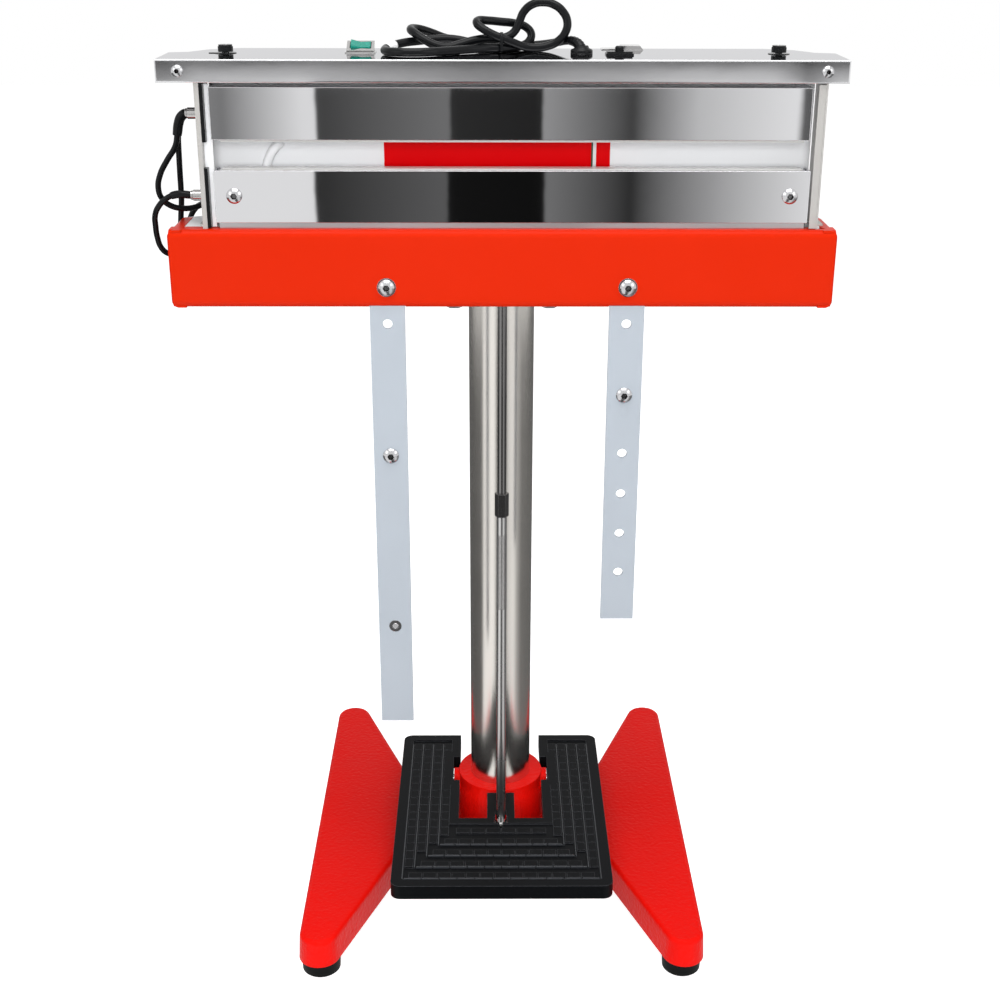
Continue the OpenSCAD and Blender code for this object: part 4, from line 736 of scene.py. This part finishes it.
# %% Floor and surround
def light_path_mix(tree, seen, unseen):
    """The first shader for camera, glossy and transmission rays, the second for light."""
    path = tree.nodes.new("ShaderNodeLightPath")
    either = tree.nodes.new("ShaderNodeMath")
    either.operation = "ADD"
    tree.links.new(path.outputs["Is Camera Ray"], either.inputs[0])
    tree.links.new(path.outputs["Is Glossy Ray"], either.inputs[1])
    any_seen = tree.nodes.new("ShaderNodeMath")
    any_seen.operation, any_seen.use_clamp = "ADD", True
    tree.links.new(either.outputs[0], any_seen.inputs[0])
    tree.links.new(path.outputs["Is Transmission Ray"], any_seen.inputs[1])
    mix = tree.nodes.new("ShaderNodeMixShader")
    tree.links.new(any_seen.outputs[0], mix.inputs[0])
    tree.links.new(unseen, mix.inputs[1])
    tree.links.new(seen, mix.inputs[2])
    return mix.outputs[0]


world = bpy.data.worlds.new("white_surround")
world.use_nodes = True
scene.world = world
sky = world.node_tree
lit = sky.nodes["Background"]
lit.inputs["Color"].default_value = (1, 1, 1, 1)
lit.inputs["Strength"].default_value = 0.24
seen = sky.nodes.new("ShaderNodeBackground")
seen.inputs["Color"].default_value = (1, 1, 1, 1)
seen.inputs["Strength"].default_value = 1.0
sky.links.new(light_path_mix(sky, seen.outputs[0], lit.outputs[0]),
              sky.nodes["World Output"].inputs["Surface"])


def stage_plane(name, corners, material):
    mesh = bpy.data.meshes.new(name)
    mesh.from_pydata(corners, [], [(0, 1, 2, 3)])
    plane = bpy.data.objects.new(name, mesh)
    scene.collection.objects.link(plane)
    mesh.materials.append(material)
    return plane


floor_paint = bpy.data.materials.new("floor_paint")
floor_paint.use_nodes = True
floor_tree = floor_paint.node_tree
matt = floor_tree.nodes["Principled BSDF"]
matt.inputs["Base Color"].default_value = (0.80, 0.80, 0.80, 1)
matt.inputs["Roughness"].default_value = 0.9
matt.inputs["Specular IOR Level"].default_value = 0.0
glow = floor_tree.nodes.new("ShaderNodeEmission")
glow.inputs["Strength"].default_value = 0.85
both = floor_tree.nodes.new("ShaderNodeAddShader")
floor_tree.links.new(matt.outputs[0], both.inputs[0])
floor_tree.links.new(glow.outputs[0], both.inputs[1])
floor_tree.links.new(light_path_mix(floor_tree, both.outputs[0], matt.outputs[0]),
                     floor_tree.nodes["Material Output"].inputs["Surface"])
FLOOR = 7.0
stage_plane("floor", [(-FLOOR, -FLOOR, 0), (FLOOR, -FLOOR, 0), (FLOOR, FLOOR, 0),
                      (-FLOOR, FLOOR, 0)], floor_paint)
print("floor and surround")

# %% [markdown]
# Three large soft lamps stand above and at the sides, and a fill in front that no metal
# mirrors. They are set so that a colour renders about as it is written.

# %% Lamps
def soft_lamp(name, place, aim, size, power):
    lamp = bpy.data.lights.new(name, "AREA")
    lamp.shape, lamp.size, lamp.energy = "SQUARE", size, power
    holder = bpy.data.objects.new(name, lamp)
    holder.location = place
    holder.rotation_euler = (Vector(aim) - Vector(place)).to_track_quat("-Z", "Y").to_euler()
    scene.collection.objects.link(holder)
    return holder


soft_lamp("lamp_above", (0.0, -0.6, 2.7), (0, 0, 0.5), 1.8, 40)
soft_lamp("lamp_left", (-2.0, -1.5, 1.6), (0, 0, 0.45), 1.2, 6)
soft_lamp("lamp_right", (2.0, -1.5, 1.6), (0, 0, 0.45), 1.2, 6)
front_fill = soft_lamp("front_fill", (0.0, -2.3, 1.15), (0, 0, 0.7), 1.0, 31)
front_fill.visible_glossy = False
print("three lamps and a front fill")

# %% [markdown]
# A polished cover is only as good as what it reflects. In a plain white studio it would be
# white, so grey cards, called flags, stand behind the camera, as in a real product studio. The
# camera doesn't see them and they cast no shadow: only reflections do. Two give the jaw covers
# their bright ends and dark middle, and four low strips give the panel's front its gradient.

# %% Flags
FLAG_Y, FLAG_REACH = -2.6, 1.0


def only_mirrored(plane):
    """Hides a stage plane from everything but reflections."""
    plane.visible_camera = plane.visible_diffuse = plane.visible_shadow = False
    plane.visible_transmission = False


def set_greys(ramp, stops):
    """Gives a colour ramp its greys, as pairs of a place from 0 to 1 and a strength."""
    for k, (spot, grey) in enumerate(stops):
        stop = ramp.elements[k] if k < 2 else ramp.elements.new(spot)
        stop.position = spot
        stop.color = (grey, grey, grey, 1)


def flag(name, stops, low, high):
    """A grey card behind the camera, from height low to high. stops give its grey from left to
    right, as pairs of a place in metres and the strength there; two at one place are an edge."""
    paint = bpy.data.materials.new(name)
    paint.use_nodes = True
    tree = paint.node_tree
    tree.nodes.remove(tree.nodes["Principled BSDF"])
    place = tree.nodes.new("ShaderNodeTexCoord")
    parts = tree.nodes.new("ShaderNodeSeparateXYZ")
    along = tree.nodes.new("ShaderNodeMapRange")
    along.inputs["From Min"].default_value = -FLAG_REACH
    along.inputs["From Max"].default_value = FLAG_REACH
    greys = tree.nodes.new("ShaderNodeValToRGB")
    set_greys(greys.color_ramp, [((x + FLAG_REACH) / (2 * FLAG_REACH) + k * 1e-5, grey)
                                 for k, (x, grey) in enumerate(stops)])
    tone = tree.nodes.new("ShaderNodeEmission")
    tree.links.new(place.outputs["Object"], parts.inputs["Vector"])
    tree.links.new(parts.outputs["X"], along.inputs["Value"])
    tree.links.new(along.outputs["Result"], greys.inputs["Fac"])
    tree.links.new(greys.outputs["Color"], tone.inputs["Color"])
    tree.links.new(tone.outputs[0], tree.nodes["Material Output"].inputs["Surface"])
    card = stage_plane(name, [(stops[0][0], FLAG_Y, low), (stops[-1][0], FLAG_Y, low),
                              (stops[-1][0], FLAG_Y, high), (stops[0][0], FLAG_Y, high)], paint)
    only_mirrored(card)


flag("flag_upper", [(-0.74, 0.30), (-0.66, 0.22), (-0.47, 0.85), (-0.434, 0.88),
                    (-0.434, 0.06), (-0.108, 0.19), (-0.108, 0.03), (0.124, 0.02),
                    (0.124, 0.34), (0.34, 0.06), (0.50, 0.60), (0.748, 0.92),
                    (0.752, 0.12), (0.82, 0.12)], 0.345, 0.513)
flag("flag_lower", [(-0.74, 0.90), (-0.443, 0.90), (-0.443, 0.03), (-0.112, 0.12),
                    (-0.112, 0.008), (0.126, 0.006), (0.126, 0.20), (0.34, 0.03),
                    (0.54, 0.38), (0.82, 0.92)], 0.0, 0.345)
panel_stops = [(-0.95, 0.22), (-0.78, 0.22), (-0.72, 0.55), (-0.47, 0.55), (0.0, 0.30),
               (0.50, 0.62), (0.68, 0.60), (0.76, 0.22), (0.83, 0.50), (0.95, 0.50)]
for name, share, low, high in (("flag_panel_low", 1.3, 0.517, 0.532),
                               ("flag_panel_mid", 1.0, 0.532, 0.552),
                               ("flag_panel_high", 0.7, 0.552, 0.565),
                               ("flag_panel_rim", 0.25, 0.565, 0.60)):
    flag(name, [(x, grey * share) for x, grey in panel_stops], low, high)
print("six flags for the covers and the panel")

# %% [markdown]
# The column is round, so it mirrors the floor on all sides of it, squeezed into thin upright
# bands. Its flag lies on the floor, and its grey goes by the angle round the column: bright to
# the front left and front right, and dim elsewhere. That gives the tube two bright bands.

# %% Flag of the column
column_ring = bpy.data.materials.new("flag_column")
column_ring.use_nodes = True
ring_tree = column_ring.node_tree
ring_tree.nodes.remove(ring_tree.nodes["Principled BSDF"])
ring_place = ring_tree.nodes.new("ShaderNodeTexCoord")
by_angle = ring_tree.nodes.new("ShaderNodeTexGradient")
by_angle.gradient_type = "RADIAL"
ring_greys = ring_tree.nodes.new("ShaderNodeValToRGB")
ring_stops = [(-180, 0.12), (-162, 0.13), (-156, 1.10), (-113, 1.20), (-107, 0.14), (-72, 0.12),
              (-66, 0.85), (-42, 1.05), (-30, 0.50), (-12, 0.20), (90, 0.12), (180, 0.12)]
set_greys(ring_greys.color_ramp, [((angle + 180) / 360, grey) for angle, grey in ring_stops])
ring_tone = ring_tree.nodes.new("ShaderNodeEmission")
ring_tree.links.new(ring_place.outputs["Object"], by_angle.inputs["Vector"])
ring_tree.links.new(by_angle.outputs["Fac"], ring_greys.inputs["Fac"])
ring_tree.links.new(ring_greys.outputs["Color"], ring_tone.inputs["Color"])
ring_tree.links.new(ring_tone.outputs[0], ring_tree.nodes["Material Output"].inputs["Surface"])
RING, RING_UP = 2.4, 0.002
only_mirrored(stage_plane("flag_column", [(-RING, -RING, RING_UP), (RING, -RING, RING_UP),
                                          (RING, RING, RING_UP), (-RING, RING, RING_UP)],
                          column_ring))
scene.view_settings.view_transform = "Standard"
print("column flag with", len(ring_stops), "steps")
